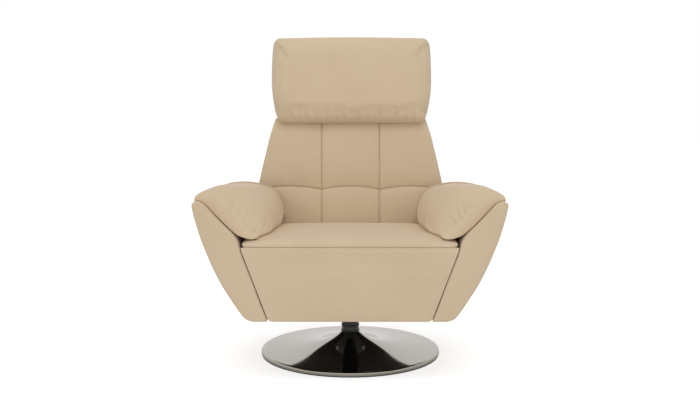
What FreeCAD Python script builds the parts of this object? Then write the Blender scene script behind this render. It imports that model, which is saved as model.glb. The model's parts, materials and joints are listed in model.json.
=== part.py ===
import FreeCAD, Part
import math
import os
import Sketcher

# Swivel recliner: a padded seat on a weighted round chrome base.
# Millimetres. X is to the viewer's right, Y to the back, Z up.
# The origin is on the floor, on the swivel axis.

V = FreeCAD.Vector

SIZES = [
    # round base and column
    ("disc_radius", 297, "outer radius of the chrome disc"),
    ("disc_wall", 2.5, "sheet of the disc"),
    ("rim_height", 14, "height of the disc's rim"),
    ("flare_radius", 100, "where the flat part turns into the flare"),
    ("flare_height", 37, "height there"),
    ("flare_curve", 130, "curve of the flare"),
    ("disc_curve", 1350, "curve of the flat part"),
    ("disc_top", 74, "height of the disc's collar"),
    ("collar_lip", 2, "width of the collar's lip"),
    ("lip_width", 9, "lip turned in under the rim"),
    ("glide_height", 3, "rubber pad under the disc"),
    ("plate_thick", 6, "steel plate inside the disc"),
    ("socket_radius", 22, "outer radius of the socket tube"),
    ("socket_wall", 4, "wall of the socket tube"),
    ("socket_top", 150, "top of the socket tube"),
    ("flange_radius", 60, "flange of the socket"),
    ("flange_thick", 6, "thickness of that flange"),
    ("screw_circle", 45, "radius of the socket's screw circle"),
    ("screw_radius", 4, "shank of the screws"),
    ("screw_head", 7, "radius of the screw heads"),
    ("bush_length", 20, "length of each bush"),
    ("bush_flange", 3, "flange of the upper bush"),
    ("washer_thick", 2, "thrust and retaining washers"),
    ("spindle_radius", 15, "swivel spindle"),
    ("spindle_bottom", 26, "lower end of the spindle"),
    ("sleeve_radius", 28.5, "black sleeve over the column"),
    ("sleeve_wall", 3, "wall of the sleeve"),
    ("sleeve_bottom", 66, "lower end of the sleeve"),
    ("hub_radius", 24, "hub of the swivel plate"),
    ("swivel_half", 90, "half width of the swivel plate"),
    ("bolt_offset", 70, "bolts of the swivel plate, from its middle"),
    ("bolt_radius", 4, "shank of the plate bolts"),
    ("bolt_head", 7, "radius of their heads"),
    ("head_thick", 5, "thickness of screw and bolt heads"),
    # seat frame
    ("body_floor", 187, "underside of the upholstered body"),
    ("swivel_thick", 6, "swivel plate"),
    ("front", 345, "front faces, ahead of the swivel axis"),
    ("arm_rear", 262, "rear ends of the arms"),
    ("beam_inner", 50, "inner face of a mount beam"),
    ("beam_wide", 40, "width of a mount beam"),
    ("beam_high", 40, "height of a mount beam"),
    ("beam_low", 19, "height of its rear end, under the back"),
    ("beam_step", 138, "where the beam steps down"),
    ("beam_front", 250, "front ends of the beams"),
    ("beam_rear", 222, "rear ends of the beams"),
    ("rail_wide", 35, "width of the cross rails"),
    ("rail_high", 35, "height of the cross rails"),
    ("side_inner", 200, "inner face of a seat rail"),
    ("side_wide", 25, "width of a seat rail"),
    ("strap_thick", 3, "seat and back straps"),
    ("strap_wide", 45, "width of a strap"),
    # upholstered sides
    ("arm_foot_in", 248, "half width between the arms at the bottom"),
    ("arm_splay", 0.37, "outward lean of the arms' inner faces"),
    ("arm_foot_out", 303, "outer corner at the bottom"),
    ("arm_knee_x", 378, "point on the arm's outer curve"),
    ("arm_knee_z", 282, "height of that point"),
    ("half_width", 475, "half width over the arms"),
    ("arm_top", 548, "height of the arms' outer edge"),
    ("arm_peak", 555, "top of the arms"),
    ("arm_fall", 36, "how far the arms' tops run down to the back"),
    ("arm_tip", 16, "curve of the arms' top edge"),
    ("arm_lip_in", 37, "upper end of the slope inside the arm, in from the arm's outer edge"),
    ("arm_lip", "=half_width - arm_lip_in", "where that is"),
    ("arm_shelf", 339, "lower end of that slope"),
    ("arm_shelf_z", 442, "height of its lower end"),
    ("board_inset", 22, "arm board, inside the arm"),
    ("board_thick", 18, "arm board"),
    ("board_top", 400, "top of the arm board"),
    ("pillow_front", 318, "front end of an arm pillow"),
    ("pillow_rear", 194, "rear end of an arm pillow"),
    ("pillow_in", 218, "inner bulge of an arm pillow"),
    ("pillow_top", 588, "top of an arm pillow"),
    # seat cushion
    ("seat_bottom", 271, "underside of the seat cushion"),
    ("seat_seam", 417, "seam at the cushion's side"),
    ("seat_half", 325, "half width at the seam"),
    ("seat_crown", 32, "crown of the seat above the seam"),
    ("seat_level", 263, "where the seat starts to run down, behind its nose"),
    ("seat_fall", 43, "how far its middle runs down to the back"),
    ("seat_nose", 343, "front of the seat"),
    ("seat_block", 266, "front of the cushion below the nose"),
    ("seat_rear", 146, "rear of the cushion at its underside"),
    # back
    ("pivot_y", 232, "recline axis, behind the swivel axis"),
    ("pivot_z", 262, "recline axis, above the floor"),
    ("back_lean", 12, "lean of the back at rest, degrees"),
    ("back_tall", 510, "top of the back above the recline axis"),
    ("back_low", 45, "bottom of the back below that axis"),
    ("back_rear", 45, "rear face behind that axis"),
    ("back_face", 70, "front face ahead of that axis"),
    ("back_foot", 245, "half width at the bottom"),
    ("back_hip", 256, "half width between the recline brackets"),
    ("back_hip_z", 36, "top of that narrow part, above the axis"),
    ("back_wide", 322, "greatest half width"),
    ("back_widest", 275, "where that is, above the axis"),
    ("back_top", 264, "half width at the top"),
    ("tuft_x", 101, "upright seams, from the middle"),
    ("tuft_z", 262, "cross seam, above the recline axis"),
    ("back_sewn", 100, "foot of the tufts, above the recline axis"),
    ("tuft_swell", 24, "swell of each tuft"),
    ("upright_in", 205, "inner face of a back upright"),
    ("upright_wide", 25, "width of a back upright"),
    ("upright_front", 15, "front of the uprights, ahead of the axis"),
    ("upright_deep", 35, "depth of the uprights"),
    ("upright_short", 30, "top of the uprights, below the top of the back"),
    ("upright_top", "=back_tall - upright_short", "where that is, above the axis"),
    ("upright_low", 30, "lower end, below the axis"),
    ("pin_radius", 6, "recline pins"),
    ("ear_thick", 4, "pivot ears and recline brackets"),
    ("bracket_in", 262, "inner face of a recline bracket"),
    ("bracket_eye", 22, "radius of a bracket's eye"),
    # headrest
    ("tilt_y", 88, "tilt axis, ahead of the recline axis"),
    ("tilt_drop", 2, "tilt axis, below the top of the back"),
    ("tilt_z", "=back_tall - tilt_drop", "where that is, above the recline axis"),
    ("roll", 24, "roll along the bottom of the headrest"),
    ("head_tall", 276, "top of the headrest above the tilt axis"),
    ("head_half", 276, "half width of the headrest"),
    ("head_foot", 254, "half width at its bottom"),
    ("head_deep", 92, "rear of the headrest behind the tilt axis"),
    ("head_board_y", 30, "headrest board, behind the tilt axis"),
    ("head_board_z", 38, "bottom of that board, above the tilt axis"),
    ("head_board_tall", 210, "height of that board"),
    ("head_board_half", 215, "half width of that board"),
    ("head_board_thick", 12, "headrest board"),
    ("knuckle_x", 130, "middle of a headrest hinge"),
    ("knuckle_wide", 16, "lower knuckle of that hinge"),
    ("knuckle_radius", 9, "knuckle"),
    ("hinge_plate", 4, "upper hinge plates"),
    ("head_pin", 4, "radius of the headrest pins"),
    # footrest
    ("swing_y", 325, "footrest axis, ahead of the swivel axis"),
    ("swing_z", 395, "footrest axis, above the floor"),
    ("pad_deep", 46, "thickness of the footrest pad"),
    ("pad_floor", 188, "bottom of the footrest pad"),
    ("pad_gap", 5, "gap beside the pad"),
    ("foot_board", 12, "footrest board"),
    ("foot_board_top", 17, "top of that board, below the axis"),
    ("foot_bracket_x", 203, "inner face of a footrest bracket"),
    ("foot_plate", 5, "footrest brackets and arms"),
    ("foot_eye", 10, "radius of their eyes"),
    ("foot_pin", 5, "radius of the footrest pins"),
    # clearances
    ("fit", 0.05, "running fit of a pin or spindle"),
    ("slip", 0.3, "gap round a piece set in padding"),
    ("play", 2, "gap between plates that pass each other"),
]

doc = FreeCAD.newDocument("recliner")
sheet = doc.addObject("Spreadsheet::Sheet", "Dim")
for row, (alias, number, note) in enumerate(SIZES, 1):
    sheet.set(f"A{row}", note)
    sheet.set(f"B{row}", str(number))
    sheet.setAlias(f"B{row}", alias)
doc.recompute()

NAMES = {alias for alias, number, note in SIZES}
SIDES = (("left", -1), ("right", 1))
NODES = []


# Expressions and small helpers

def link(text):
    """Points each size's name in an expression at its cell."""
    out, word = "", ""
    for letter in f"{text} ":
        if letter.isalnum() or letter in "_.":
            word += letter
        else:
            out += ("Dim." + word if word in NAMES else word) + letter
            word = ""
    return out.strip()


def size(text):
    """The number that an expression of sizes comes to."""
    found = sheet.evalExpression(link(text))
    return float(getattr(found, "Value", found))


def bind(obj, prop, text):
    obj.setExpression(prop, link(text))


def node(obj, name):
    """Makes an object one of the part's pieces."""
    obj.Label = name
    NODES.append(obj)
    return obj


def lean(obj):
    """Sets a piece drawn about the recline axis on the leaning back."""
    obj.Placement = FreeCAD.Placement(V(0, 0, 0), FreeCAD.Rotation(V(1, 0, 0), -size("back_lean")))
    bind(obj, "Placement.Base.y", "pivot_y")
    bind(obj, "Placement.Base.z", "pivot_z")
    bind(obj, "Placement.Rotation.Angle", "back_lean * 1 deg")
    obj.Placement.Rotation.Axis = V(-1, 0, 0)
    return obj


def leaning():
    turn = FreeCAD.Rotation(V(1, 0, 0), -size("back_lean"))
    return FreeCAD.Placement(V(0, size("pivot_y"), size("pivot_z")), turn)


def arm_face(z):
    """Half width between the arms' inner faces at a height."""
    return f"(arm_foot_in + (({z}) - body_floor) * arm_splay)"


# Sketches

def new_sketch(body, name, plane, offset):
    sketch = body.newObject("Sketcher::SketchObject", name)
    base = [f for f in body.Origin.OriginFeatures if f.Role == plane][0]
    sketch.AttachmentSupport = [(base, "")]
    sketch.MapMode = "FlatFace"
    bind(sketch, "AttachmentOffset.Base.z", offset)
    return sketch


def constrain(sketch, name, kind, places, text):
    index = sketch.addConstraint(Sketcher.Constraint(kind, *places, size(text)))
    sketch.renameConstraint(index, name)
    bind(sketch, f"Constraints.{name}", text)


def curve(a, b, radius):
    """A line, or an arc that bulges to the right of the way from a to b."""
    if not radius:
        return Part.LineSegment(a, b)
    half = (b - a).Length / 2
    rise = abs(radius) - math.sqrt(max(radius ** 2 - half ** 2, 0))
    way = (b - a).normalize()
    side = V(way.y, -way.x, 0) * math.copysign(rise, radius)
    return Part.Arc(a, (a + b) * 0.5 + side, b)


def outline(sketch, points, tag="p"):
    """Closed outline. Each point is (x, y) or (x, y, radius of the arc to the next point)."""
    corners = [V(size(p[0]), size(p[1]), 0) for p in points]
    starts = []
    for i, point in enumerate(points):
        a, b = corners[i], corners[(i + 1) % len(points)]
        radius = size(point[2]) if len(point) == 3 else 0
        index = sketch.addGeometry(curve(a, b, radius))
        first = 1 if (sketch.getPoint(index, 1) - a).Length < 1e-6 else 2
        starts.append((index, first))
    for i, point in enumerate(points):
        index, first = starts[i]
        after, start = starts[(i + 1) % len(points)]
        sketch.addConstraint(Sketcher.Constraint("Coincident", index, 3 - first, after, start))
        constrain(sketch, f"{tag}x{i}", "DistanceX", (-1, 1, index, first), point[0])
        constrain(sketch, f"{tag}y{i}", "DistanceY", (-1, 1, index, first), point[1])
        if len(point) == 3:
            constrain(sketch, f"{tag}r{i}", "Radius", (index,), f"abs({point[2]})")


def circle(sketch, x, y, radius, tag):
    ring = Part.Circle(V(size(x), size(y), 0), V(0, 0, 1), size(radius))
    index = sketch.addGeometry(ring)
    constrain(sketch, f"{tag}x", "DistanceX", (-1, 1, index, 3), x)
    constrain(sketch, f"{tag}y", "DistanceY", (-1, 1, index, 3), y)
    constrain(sketch, f"{tag}r", "Radius", (index,), radius)


# Pieces

def pad(body, name, plane, points, start, length, holes=()):
    sketch = new_sketch(body, f"{name}_sketch", plane, start)
    if points:
        outline(sketch, points)
    for i, (x, y, radius) in enumerate(holes):
        circle(sketch, x, y, radius, f"h{i}")
    feature = body.newObject("PartDesign::Pad", f"{name}_pad")
    feature.Profile = sketch
    bind(feature, "Length", length)
    doc.recompute()
    return feature


def prism(name, plane, points, start, length, holes=()):
    """A body with one pad. Start is along the sketch plane's normal."""
    body = doc.addObject("PartDesign::Body", name)
    pad(body, name, plane, points, start, length, holes)
    return body


def side_plate(name, side, points, inner, thick, holes=()):
    """A plate across X, drawn in (Y, Z), on one side of the chair."""
    start = inner if side > 0 else f"-(({inner}) + ({thick}))"
    return prism(name, "YZ_Plane", points, start, thick, holes)


def cross_piece(name, points, front, rear):
    """A piece along Y, drawn in (X, Z), from front to rear."""
    return prism(name, "XZ_Plane", points, f"-({rear})", f"({rear}) - ({front})")


def turned(name, points):
    """A body turned about Z, drawn in (radius, Z)."""
    body = doc.addObject("PartDesign::Body", name)
    sketch = new_sketch(body, f"{name}_sketch", "XZ_Plane", "0")
    outline(sketch, points)
    feature = body.newObject("PartDesign::Revolution", f"{name}_turn")
    feature.Profile = sketch
    feature.ReferenceAxis = (sketch, ["V_Axis"])
    feature.Angle = 360
    doc.recompute()
    return body


def ring(name, inner, outer, bottom, top):
    return turned(name, [(inner, bottom), (outer, bottom), (outer, top), (inner, top)])


def box_points(x0, x1, z0, z1):
    return [(x0, z0), (x1, z0), (x1, z1), (x0, z1)]


def block(name, x0, x1, y0, y1, z0, z1):
    return cross_piece(name, box_points(x0, x1, z0, z1), y0, y1)


def mirrored_span(side, inner, wide):
    """Start and end along X of a piece on one side."""
    if side > 0:
        return inner, f"({inner}) + ({wide})"
    return f"-(({inner}) + ({wide}))", f"-({inner})"


def rod_x(name, side, inner, length, y, z, radius):
    """A round pin along X."""
    start = inner if side > 0 else f"-(({inner}) + ({length}))"
    return prism(name, "YZ_Plane", [], start, length, [(y, z, radius)])


def cylinder(name, x, y, bottom, top, radius):
    rod = doc.addObject("Part::Cylinder", name)
    bind(rod, "Radius", radius)
    bind(rod, "Height", f"({top}) - ({bottom})")
    for axis, text in zip("xyz", (x, y, bottom)):
        bind(rod, f"Placement.Base.{axis}", text)
    return rod


def fused(name, pieces):
    whole = doc.addObject("Part::MultiFuse", name)
    whole.Shapes = pieces
    return whole


def cut(name, base, tool):
    result = doc.addObject("Part::Cut", name)
    result.Base, result.Tool = base, tool
    return result


def bolts(name, spots, shank, head, head_bottom, head_top, top):
    """Round-headed screws, heads down, or up where top is below the head."""
    pieces = []
    for i, (x, y) in enumerate(spots):
        pieces.append(cylinder(f"{name}_head{i}", x, y, head_bottom, head_top, head))
        low, high = (head_top, top) if size(top) > size(head_top) else (top, head_bottom)
        pieces.append(cylinder(f"{name}_shank{i}", x, y, low, high, shank))
    return fused(name, pieces)


# Soft forms, as lofts through closed wires of lines and short arcs

def wire(points, swells, place):
    """Closed wire. Each swell is how far that edge bulges out of the outline."""
    middle = sum((V(*p, 0) for p in points), V()) * (1 / len(points))
    edges = []
    for i, swell in enumerate(swells):
        a, b = V(*points[i], 0), V(*points[(i + 1) % len(points)], 0)
        if not swell:
            edges.append(Part.makeLine(place(a), place(b)))
            continue
        centre = (a + b) * 0.5
        out = V((b - a).y, -(b - a).x, 0).normalize()
        if out.dot(centre - middle) < 0:
            out = out * -1
        edges.append(Part.Arc(place(a), place(centre + out * swell), place(b)).toShape())
    return Part.Wire(edges)


def soft(name, shape):
    """A padded piece whose shape is set from the sizes."""
    piece = doc.addObject("Part::Feature", name)
    piece.Shape = shape
    return node(piece, name)


def cuboid(x0, x1, y0, y1, z0, z1):
    return Part.makeBox(x1 - x0, y1 - y0, z1 - z0, V(x0, y0, z0))


# The round base

def make_base():
    socket_inner = "socket_radius - socket_wall"
    lip_top = "glide_height + disc_wall / 2"
    plate_top = f"{lip_top} + plate_thick"
    bore = "sleeve_radius + slip * 2"
    rim = "disc_radius - disc_wall"
    shoulder = "disc_radius - 7"
    node(turned("base_disc", [
        (bore, "disc_top"), (f"{bore} + collar_lip", "disc_top", "flare_curve"),
        ("flare_radius", "flare_height", "disc_curve"),
        (shoulder, "rim_height + 1"), ("disc_radius", "rim_height - 3"),
        ("disc_radius", "glide_height"), ("disc_radius - lip_width", "glide_height"),
        ("disc_radius - lip_width", lip_top), (rim, lip_top), (rim, "rim_height - 4"),
        (shoulder, "rim_height + 1 - disc_wall", "-disc_curve"),
        ("flare_radius", "flare_height - disc_wall", "-flare_curve"),
        (bore, "disc_top - disc_wall")]), "base_disc")
    node(turned("floor_pad", box_points("0", "disc_radius - 1", "0", "glide_height")), "floor_pad")
    spots = [("screw_circle", "0"), ("-screw_circle", "0"), ("0", "screw_circle"),
             ("0", "-screw_circle")]
    flange_top = f"{plate_top} + flange_thick"
    screw_end = f"{lip_top}"
    plate_blank = ring("base_plate_blank", "socket_radius - socket_wall", f"{rim} - slip * 4",
                       lip_top, plate_top)
    socket_blank = turned("column_socket_blank", [
        (socket_inner, plate_top), ("flange_radius", plate_top), ("flange_radius", flange_top),
        ("socket_radius", flange_top), ("socket_radius", "socket_top"),
        (socket_inner, "socket_top")])
    for name, blank in (("base_plate", plate_blank), ("column_socket", socket_blank)):
        holes = [cylinder(f"{name}_hole{i}", x, y, lip_top, flange_top, "screw_radius + fit")
                 for i, (x, y) in enumerate(spots)]
        node(cut(name, blank, fused(f"{name}_holes", holes)), name)
    node(bolts("socket_screws", spots, "screw_radius", "screw_head", flange_top,
               f"{flange_top} + head_thick", screw_end), "socket_screws")
    bush_inner, bush_outer = "spindle_radius + fit", f"{socket_inner} - fit"
    node(ring("lower_bush", bush_inner, bush_outer, "spindle_bottom + washer_thick",
              "spindle_bottom + washer_thick + bush_length"), "lower_bush")
    bush_top = "socket_top + bush_flange"
    node(turned("upper_bush", [
        (bush_inner, "socket_top - bush_length"), (bush_outer, "socket_top - bush_length"),
        (bush_outer, "socket_top"), ("socket_radius", "socket_top"), ("socket_radius", bush_top),
        (bush_inner, bush_top)]), "upper_bush")
    node(ring("thrust_washer", bush_inner, "socket_radius", bush_top,
              f"{bush_top} + washer_thick"), "thrust_washer")


def make_swivel():
    plate_top = "body_floor + swivel_thick"
    bore = "bolt_radius"
    node(turned("swivel_spindle", [
        (bore, "spindle_bottom"), ("spindle_radius", "spindle_bottom"),
        ("spindle_radius", plate_top), ("0", plate_top), ("0", "spindle_bottom + 30"),
        (bore, "spindle_bottom + 30")]), "swivel_spindle")
    washer = "spindle_bottom - washer_thick"
    node(ring("retaining_washer", f"{bore} + fit", "spindle_radius + 2", washer,
              "spindle_bottom"), "retaining_washer")
    node(turned("retaining_screw", [
        ("0", f"{washer} - head_thick"), ("bolt_head", f"{washer} - head_thick"),
        ("bolt_head", washer), (f"{bore} - fit", washer), (f"{bore} - fit", "spindle_bottom + 28"),
        ("0", "spindle_bottom + 28")]), "retaining_screw")
    node(ring("column_cover", "sleeve_radius - sleeve_wall", "sleeve_radius", "sleeve_bottom",
              "body_floor"), "column_cover")
    spots = [(f"{a} * bolt_offset", f"{b} * bolt_offset") for a in (-1, 1) for b in (-1, 1)]
    plate = doc.addObject("PartDesign::Body", "swivel_plate")
    pad(plate, "swivel_flat", "XY_Plane",
        box_points("-swivel_half", "swivel_half", "-swivel_half", "swivel_half"), "body_floor",
        "swivel_thick", [("0", "0", "spindle_radius + fit")]
        + [(x, y, "bolt_radius + fit") for x, y in spots])
    hub_bottom = "socket_top + bush_flange + washer_thick"
    pad(plate, "swivel_hub", "XY_Plane", [], hub_bottom, f"body_floor - ({hub_bottom})",
        [("0", "0", "hub_radius"), ("0", "0", "spindle_radius + fit")])
    node(plate, "swivel_plate")
    node(bolts("plate_bolts", spots, "bolt_radius", "bolt_head", "body_floor - head_thick",
               "body_floor", f"{plate_top} + beam_high - 8"), "plate_bolts")


# The seat frame between the arms

def make_frame():
    low = "body_floor + swivel_thick"
    high = f"{low} + beam_high"
    for side_name, side in SIDES:
        name = f"mount_beam_{side_name}"
        blank = side_plate(f"{name}_blank", side, [
            ("-beam_front", low), ("beam_rear", low), ("beam_rear", f"{low} + beam_low"),
            ("beam_step", f"{low} + beam_low"), ("beam_step", high), ("-beam_front", high)],
            "beam_inner", "beam_wide")
        holes = [cylinder(f"{name}_hole{i}", f"{side} * bolt_offset", y, low, f"{high} - 8",
                          "bolt_radius + fit")
                 for i, y in enumerate(("-bolt_offset", "bolt_offset"))]
        node(cut(name, blank, fused(f"{name}_holes", holes)), name)
    top = f"{high} + rail_high"
    flush = [(f"-{arm_face(high)}", high), (arm_face(high), high), (arm_face(top), top),
             (f"-{arm_face(top)}", top)]
    node(cross_piece("front_cross_rail", flush, "-beam_front", "rail_wide - beam_front"),
         "front_cross_rail")
    node(block("middle_cross_rail", "-bracket_in", "bracket_in", "beam_step - rail_wide",
               "beam_step", high, top), "middle_cross_rail")
    floor, rear_top = "body_floor + 3", f"{low} + beam_low"
    node(cross_piece("rear_cross_rail", [
        (f"-{arm_face(floor)}", floor), (arm_face(floor), floor), (arm_face(rear_top), rear_top),
        (f"-{arm_face(rear_top)}", rear_top)], "beam_rear", "beam_rear + 22"), "rear_cross_rail")
    for side_name, side in SIDES:
        x0, x1 = mirrored_span(side, "side_inner", "side_wide")
        name = f"seat_rail_{side_name}"
        node(block(name, x0, x1, "rail_wide - beam_front", "beam_step - rail_wide", high, top), name)
    straps = 5
    first, last = "rail_wide - beam_front + 6", "beam_step - rail_wide - strap_wide - 6"
    reach = "side_inner + side_wide"
    pieces = []
    for i in range(straps):
        y = f"({first}) + (({last}) - ({first})) * {i} / {straps - 1}"
        pieces.append(block(f"seat_strap{i}", f"-({reach})", reach, y, f"{y} + strap_wide", top,
                            f"{top} + strap_thick"))
    node(fused("seat_webbing", pieces), "seat_webbing")
    hole = "swivel_half + play"
    cover = block("dust_cover_blank", f"play - {arm_face('body_floor')}",
                  f"{arm_face('body_floor')} - play", "-beam_front", "beam_rear + 22",
                  "body_floor", floor)
    gap = block("dust_cover_gap", f"-({hole})", hole, f"-({hole})", hole, "body_floor", floor)
    node(cut("dust_cover", cover, gap), "dust_cover")


# Arms: one padded shell on a board at each side

def make_arms():
    for side_name, side in SIDES:
        name = f"arm_body_{side_name}"
        bend = -1 if side < 0 else 1
        shell = [
            (f"{side} * arm_foot_in", "body_floor"),
            (f"{side} * arm_foot_out", "body_floor", f"{bend} * 560"),
            (f"{side} * arm_knee_x", "arm_knee_z", f"{bend} * 900"),
            (f"{side} * half_width", "arm_top", f"{bend} * arm_tip"),
            (f"{side} * (half_width - 12)", "arm_peak", f"{bend} * 50"),
            (f"{side} * arm_lip", "arm_top - 6"), (f"{side} * arm_shelf", "arm_shelf_z"),
            (f"{side} * ({arm_face('arm_shelf_z - 30')})", "arm_shelf_z - 30")]
        outer = doc.addObject("PartDesign::Body", f"{name}_outer")
        pad(outer, f"{name}_outer", "XZ_Plane", shell, "-arm_rear", "arm_rear + front")
        y0, y1 = "25 - front", "arm_rear - 22"
        bottom = "body_floor + 8"
        inset, thick = "board_inset", "board_thick"

        def panel(label, gap):
            near = [f"{side} * ({arm_face(z)} + {inset} - {gap})" for z in (bottom, "board_top")]
            far = [f"{side} * ({arm_face(z)} + {inset} + {thick} + {gap})"
                   for z in (bottom, "board_top")]
            return cross_piece(label, [
                (near[0], f"{bottom} - {gap}"), (far[0], f"{bottom} - {gap}"),
                (far[1], f"board_top + {gap}"), (near[1], f"board_top + {gap}")],
                f"{y0} - {gap}", f"{y1} + {gap}")

        over = side_plate(f"{name}_over", side, [
            ("-front - 1", "arm_peak"), ("arm_rear + 1", "arm_peak - arm_fall"),
            ("arm_rear + 1", "arm_peak + 50"), ("-front - 1", "arm_peak + 50")],
            "arm_shelf", "half_width - arm_shelf + 20")
        node(cut(name, outer, fused(f"{name}_away", [panel(f"{name}_space", "slip"), over])), name)
        node(panel(f"arm_board_{side_name}", "0"), f"arm_board_{side_name}")
        make_pillow(side_name, side)


def make_pillow(side_name, side):
    """Pillow along the inside of an arm: thin at its gathered front end, full at the middle."""
    front, rear = -size("pillow_front"), size("pillow_rear")
    bulge, top, lip, shelf = (size(n) for n in ("pillow_in", "pillow_top", "arm_lip", "arm_shelf"))
    lip_z, shelf_z, peak = size("arm_top") - 6, size("arm_shelf_z"), size("arm_peak")
    gap = size("slip") * 1.5
    slope = (lip_z - shelf_z) / (lip - shelf)
    span = rear - front
    # share of the length; how far the inside stands in; height of the top; how far the top
    # reaches in, and the inside up
    stations = [(0.0, 0.42, -0.50, 0.0, 0.0), (0.04, 0.50, -0.02, 0.12, 0.05),
                (0.13, 0.74, 0.0, 0.35, 0.25), (0.27, 0.88, -0.04, 0.62, 0.52),
                (0.42, 1.0, -0.14, 0.85, 0.78), (0.61, 1.0, -0.42, 1.0, 1.0),
                (0.81, 0.98, -0.70, 1.0, 0.94), (0.96, 0.92, -0.92, 0.98, 0.84),
                (1.0, 0.80, -1.12, 0.9, 0.72)]
    wires = []
    for share, full, fall, over, up in stations:
        y = front + span * share
        high = top + fall * 38
        inner = shelf - (shelf - bulge) * full
        floor = max(seat_height(x, y) for x in (inner, inner + 20, shelf)) + 2
        outside = min(shelf - 8, size(arm_face(floor)) - 4)
        tip_z = min(lip_z - 3, peak - size("arm_fall") * (y + size("front"))
                    / (size("arm_rear") + size("front")) - 5)
        tip = lip - (lip_z - tip_z) / slope
        points = [
            (tip, tip_z + gap), (tip - 8, max((tip_z + high) / 2, tip_z + 6)), (lip - 40, high),
            (lip - 62 - 40 * over, high - 26 * (1 - over)),
            (inner + 30 + 30 * over + 26 * (1 - over), floor + (high - floor) * (0.62 + 0.31 * up)),
            (inner + 14 + 12 * (1 - up), floor + (high - floor) * (0.36 + 0.36 * up)),
            (inner + 2, floor + (high - floor) * (0.16 + 0.22 * up)), (inner, floor + 3 + 6 * up),
            (inner + 9, floor), (outside, floor), (shelf, shelf_z + gap)]
        wires.append(wire([(side * x, z) for x, z in points], [0] * len(points),
                          lambda p: V(p.x, y, p.y)))
    soft(f"arm_pillow_{side_name}", Part.makeLoft(wires, True, True))


def seat_height(x, y):
    """Height of the crowned seat: full nearly to its sides, and lower to the back."""
    seam, crown, nose = size("seat_seam"), size("seat_crown"), -size("seat_nose")
    behind, back = y - nose, max(y - nose - size("seat_level"), 0)
    steps = [(0, 0.12), (4, 0.32), (11, 0.48), (24, 0.64), (45, 0.79), (80, 0.92), (130, 1.0)]
    share = 1.0
    for (a, low), (b, high) in zip(steps, steps[1:]):
        if a <= behind <= b:
            share = low + (high - low) * (behind - a) / (b - a)
            break
    run = back / (size("pivot_y") - 20 - nose - size("seat_level"))
    side = max(1 - abs(x / size("seat_half")) ** 4, 0) ** 0.5
    fall = size("seat_fall") * run
    return seam - 0.65 * fall + (crown * share - 0.35 * fall) * side


def make_seat_cushion():
    half, seam = size("seat_half"), size("seat_seam")
    bottom, nose, rear = size("seat_bottom"), -size("seat_nose"), size("pivot_y") - 20
    foot = size(arm_face("seat_bottom")) - 4
    # distance behind the nose, tuck of the seam
    stations = [(0, 10), (4, 6), (11, 3), (24, 1), (45, 0), (80, 0), (130, 0), (220, 0),
                (size("seat_level"), 0), (rear - nose, 0)]
    shares = (0.97, 0.9, 0.8, 0.6, 0.3, 0)
    across = [1, *shares, *(-s for s in shares[-2::-1]), -1]
    wires = []
    for behind, tuck in stations:
        y = nose + behind
        wide = min(half, size(arm_face(seat_height(half, y))) - 4) - tuck
        points = [(-foot, bottom), (foot, bottom)]
        points += [(s * wide, seat_height(s * half, y)) for s in across]
        wires.append(wire(points, [0] * len(points), lambda p: V(p.x, y, p.y)))
    shape = Part.makeLoft(wires, True, True)
    block_front = -size("seat_block")
    shape = shape.cut(cuboid(-500, 500, nose - 50, block_front, bottom - 50, seam - 0.5))
    behind_rear = Part.makePolygon([
        V(-500, size("seat_rear"), bottom - 50), V(-500, size("seat_rear"), bottom + 26),
        V(-500, back_face_y(seam + 60) - 7, seam + 60), V(-500, 700, seam + 60),
        V(-500, 700, bottom - 50), V(-500, size("seat_rear"), bottom - 50)])
    shape = shape.cut(Part.Face(behind_rear).extrude(V(1000, 0, 0)))
    soft("seat_cushion", shape)


def back_face_y(z):
    """Where the leaning back's front face stands at a height."""
    a = math.radians(size("back_lean"))
    up = (z - size("pivot_z") - size("back_face") * math.sin(a)) / math.cos(a)
    return size("pivot_y") - size("back_face") * math.cos(a) + up * math.sin(a)


# The back, drawn about the recline axis and then leaned

def back_half(z):
    """Half width of the back at a height above the recline axis."""
    low, hip, widest, tall = (size(n) for n in ("-back_low", "back_hip_z", "back_widest", "back_tall"))
    foot, narrow, wide, top = (size(n) for n in ("back_foot", "back_hip", "back_wide", "back_top"))
    if z <= hip:
        return foot + (narrow - foot) * (z - low) / (hip - low)
    if z <= widest:
        return narrow + (wide - narrow) * math.sin((z - hip) / (widest - hip) * math.pi / 2) ** 0.9
    share = (z - widest) / (tall - widest)
    return top + (wide - top) * (1 - share) + 3 * math.sin(share * math.pi)


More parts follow.
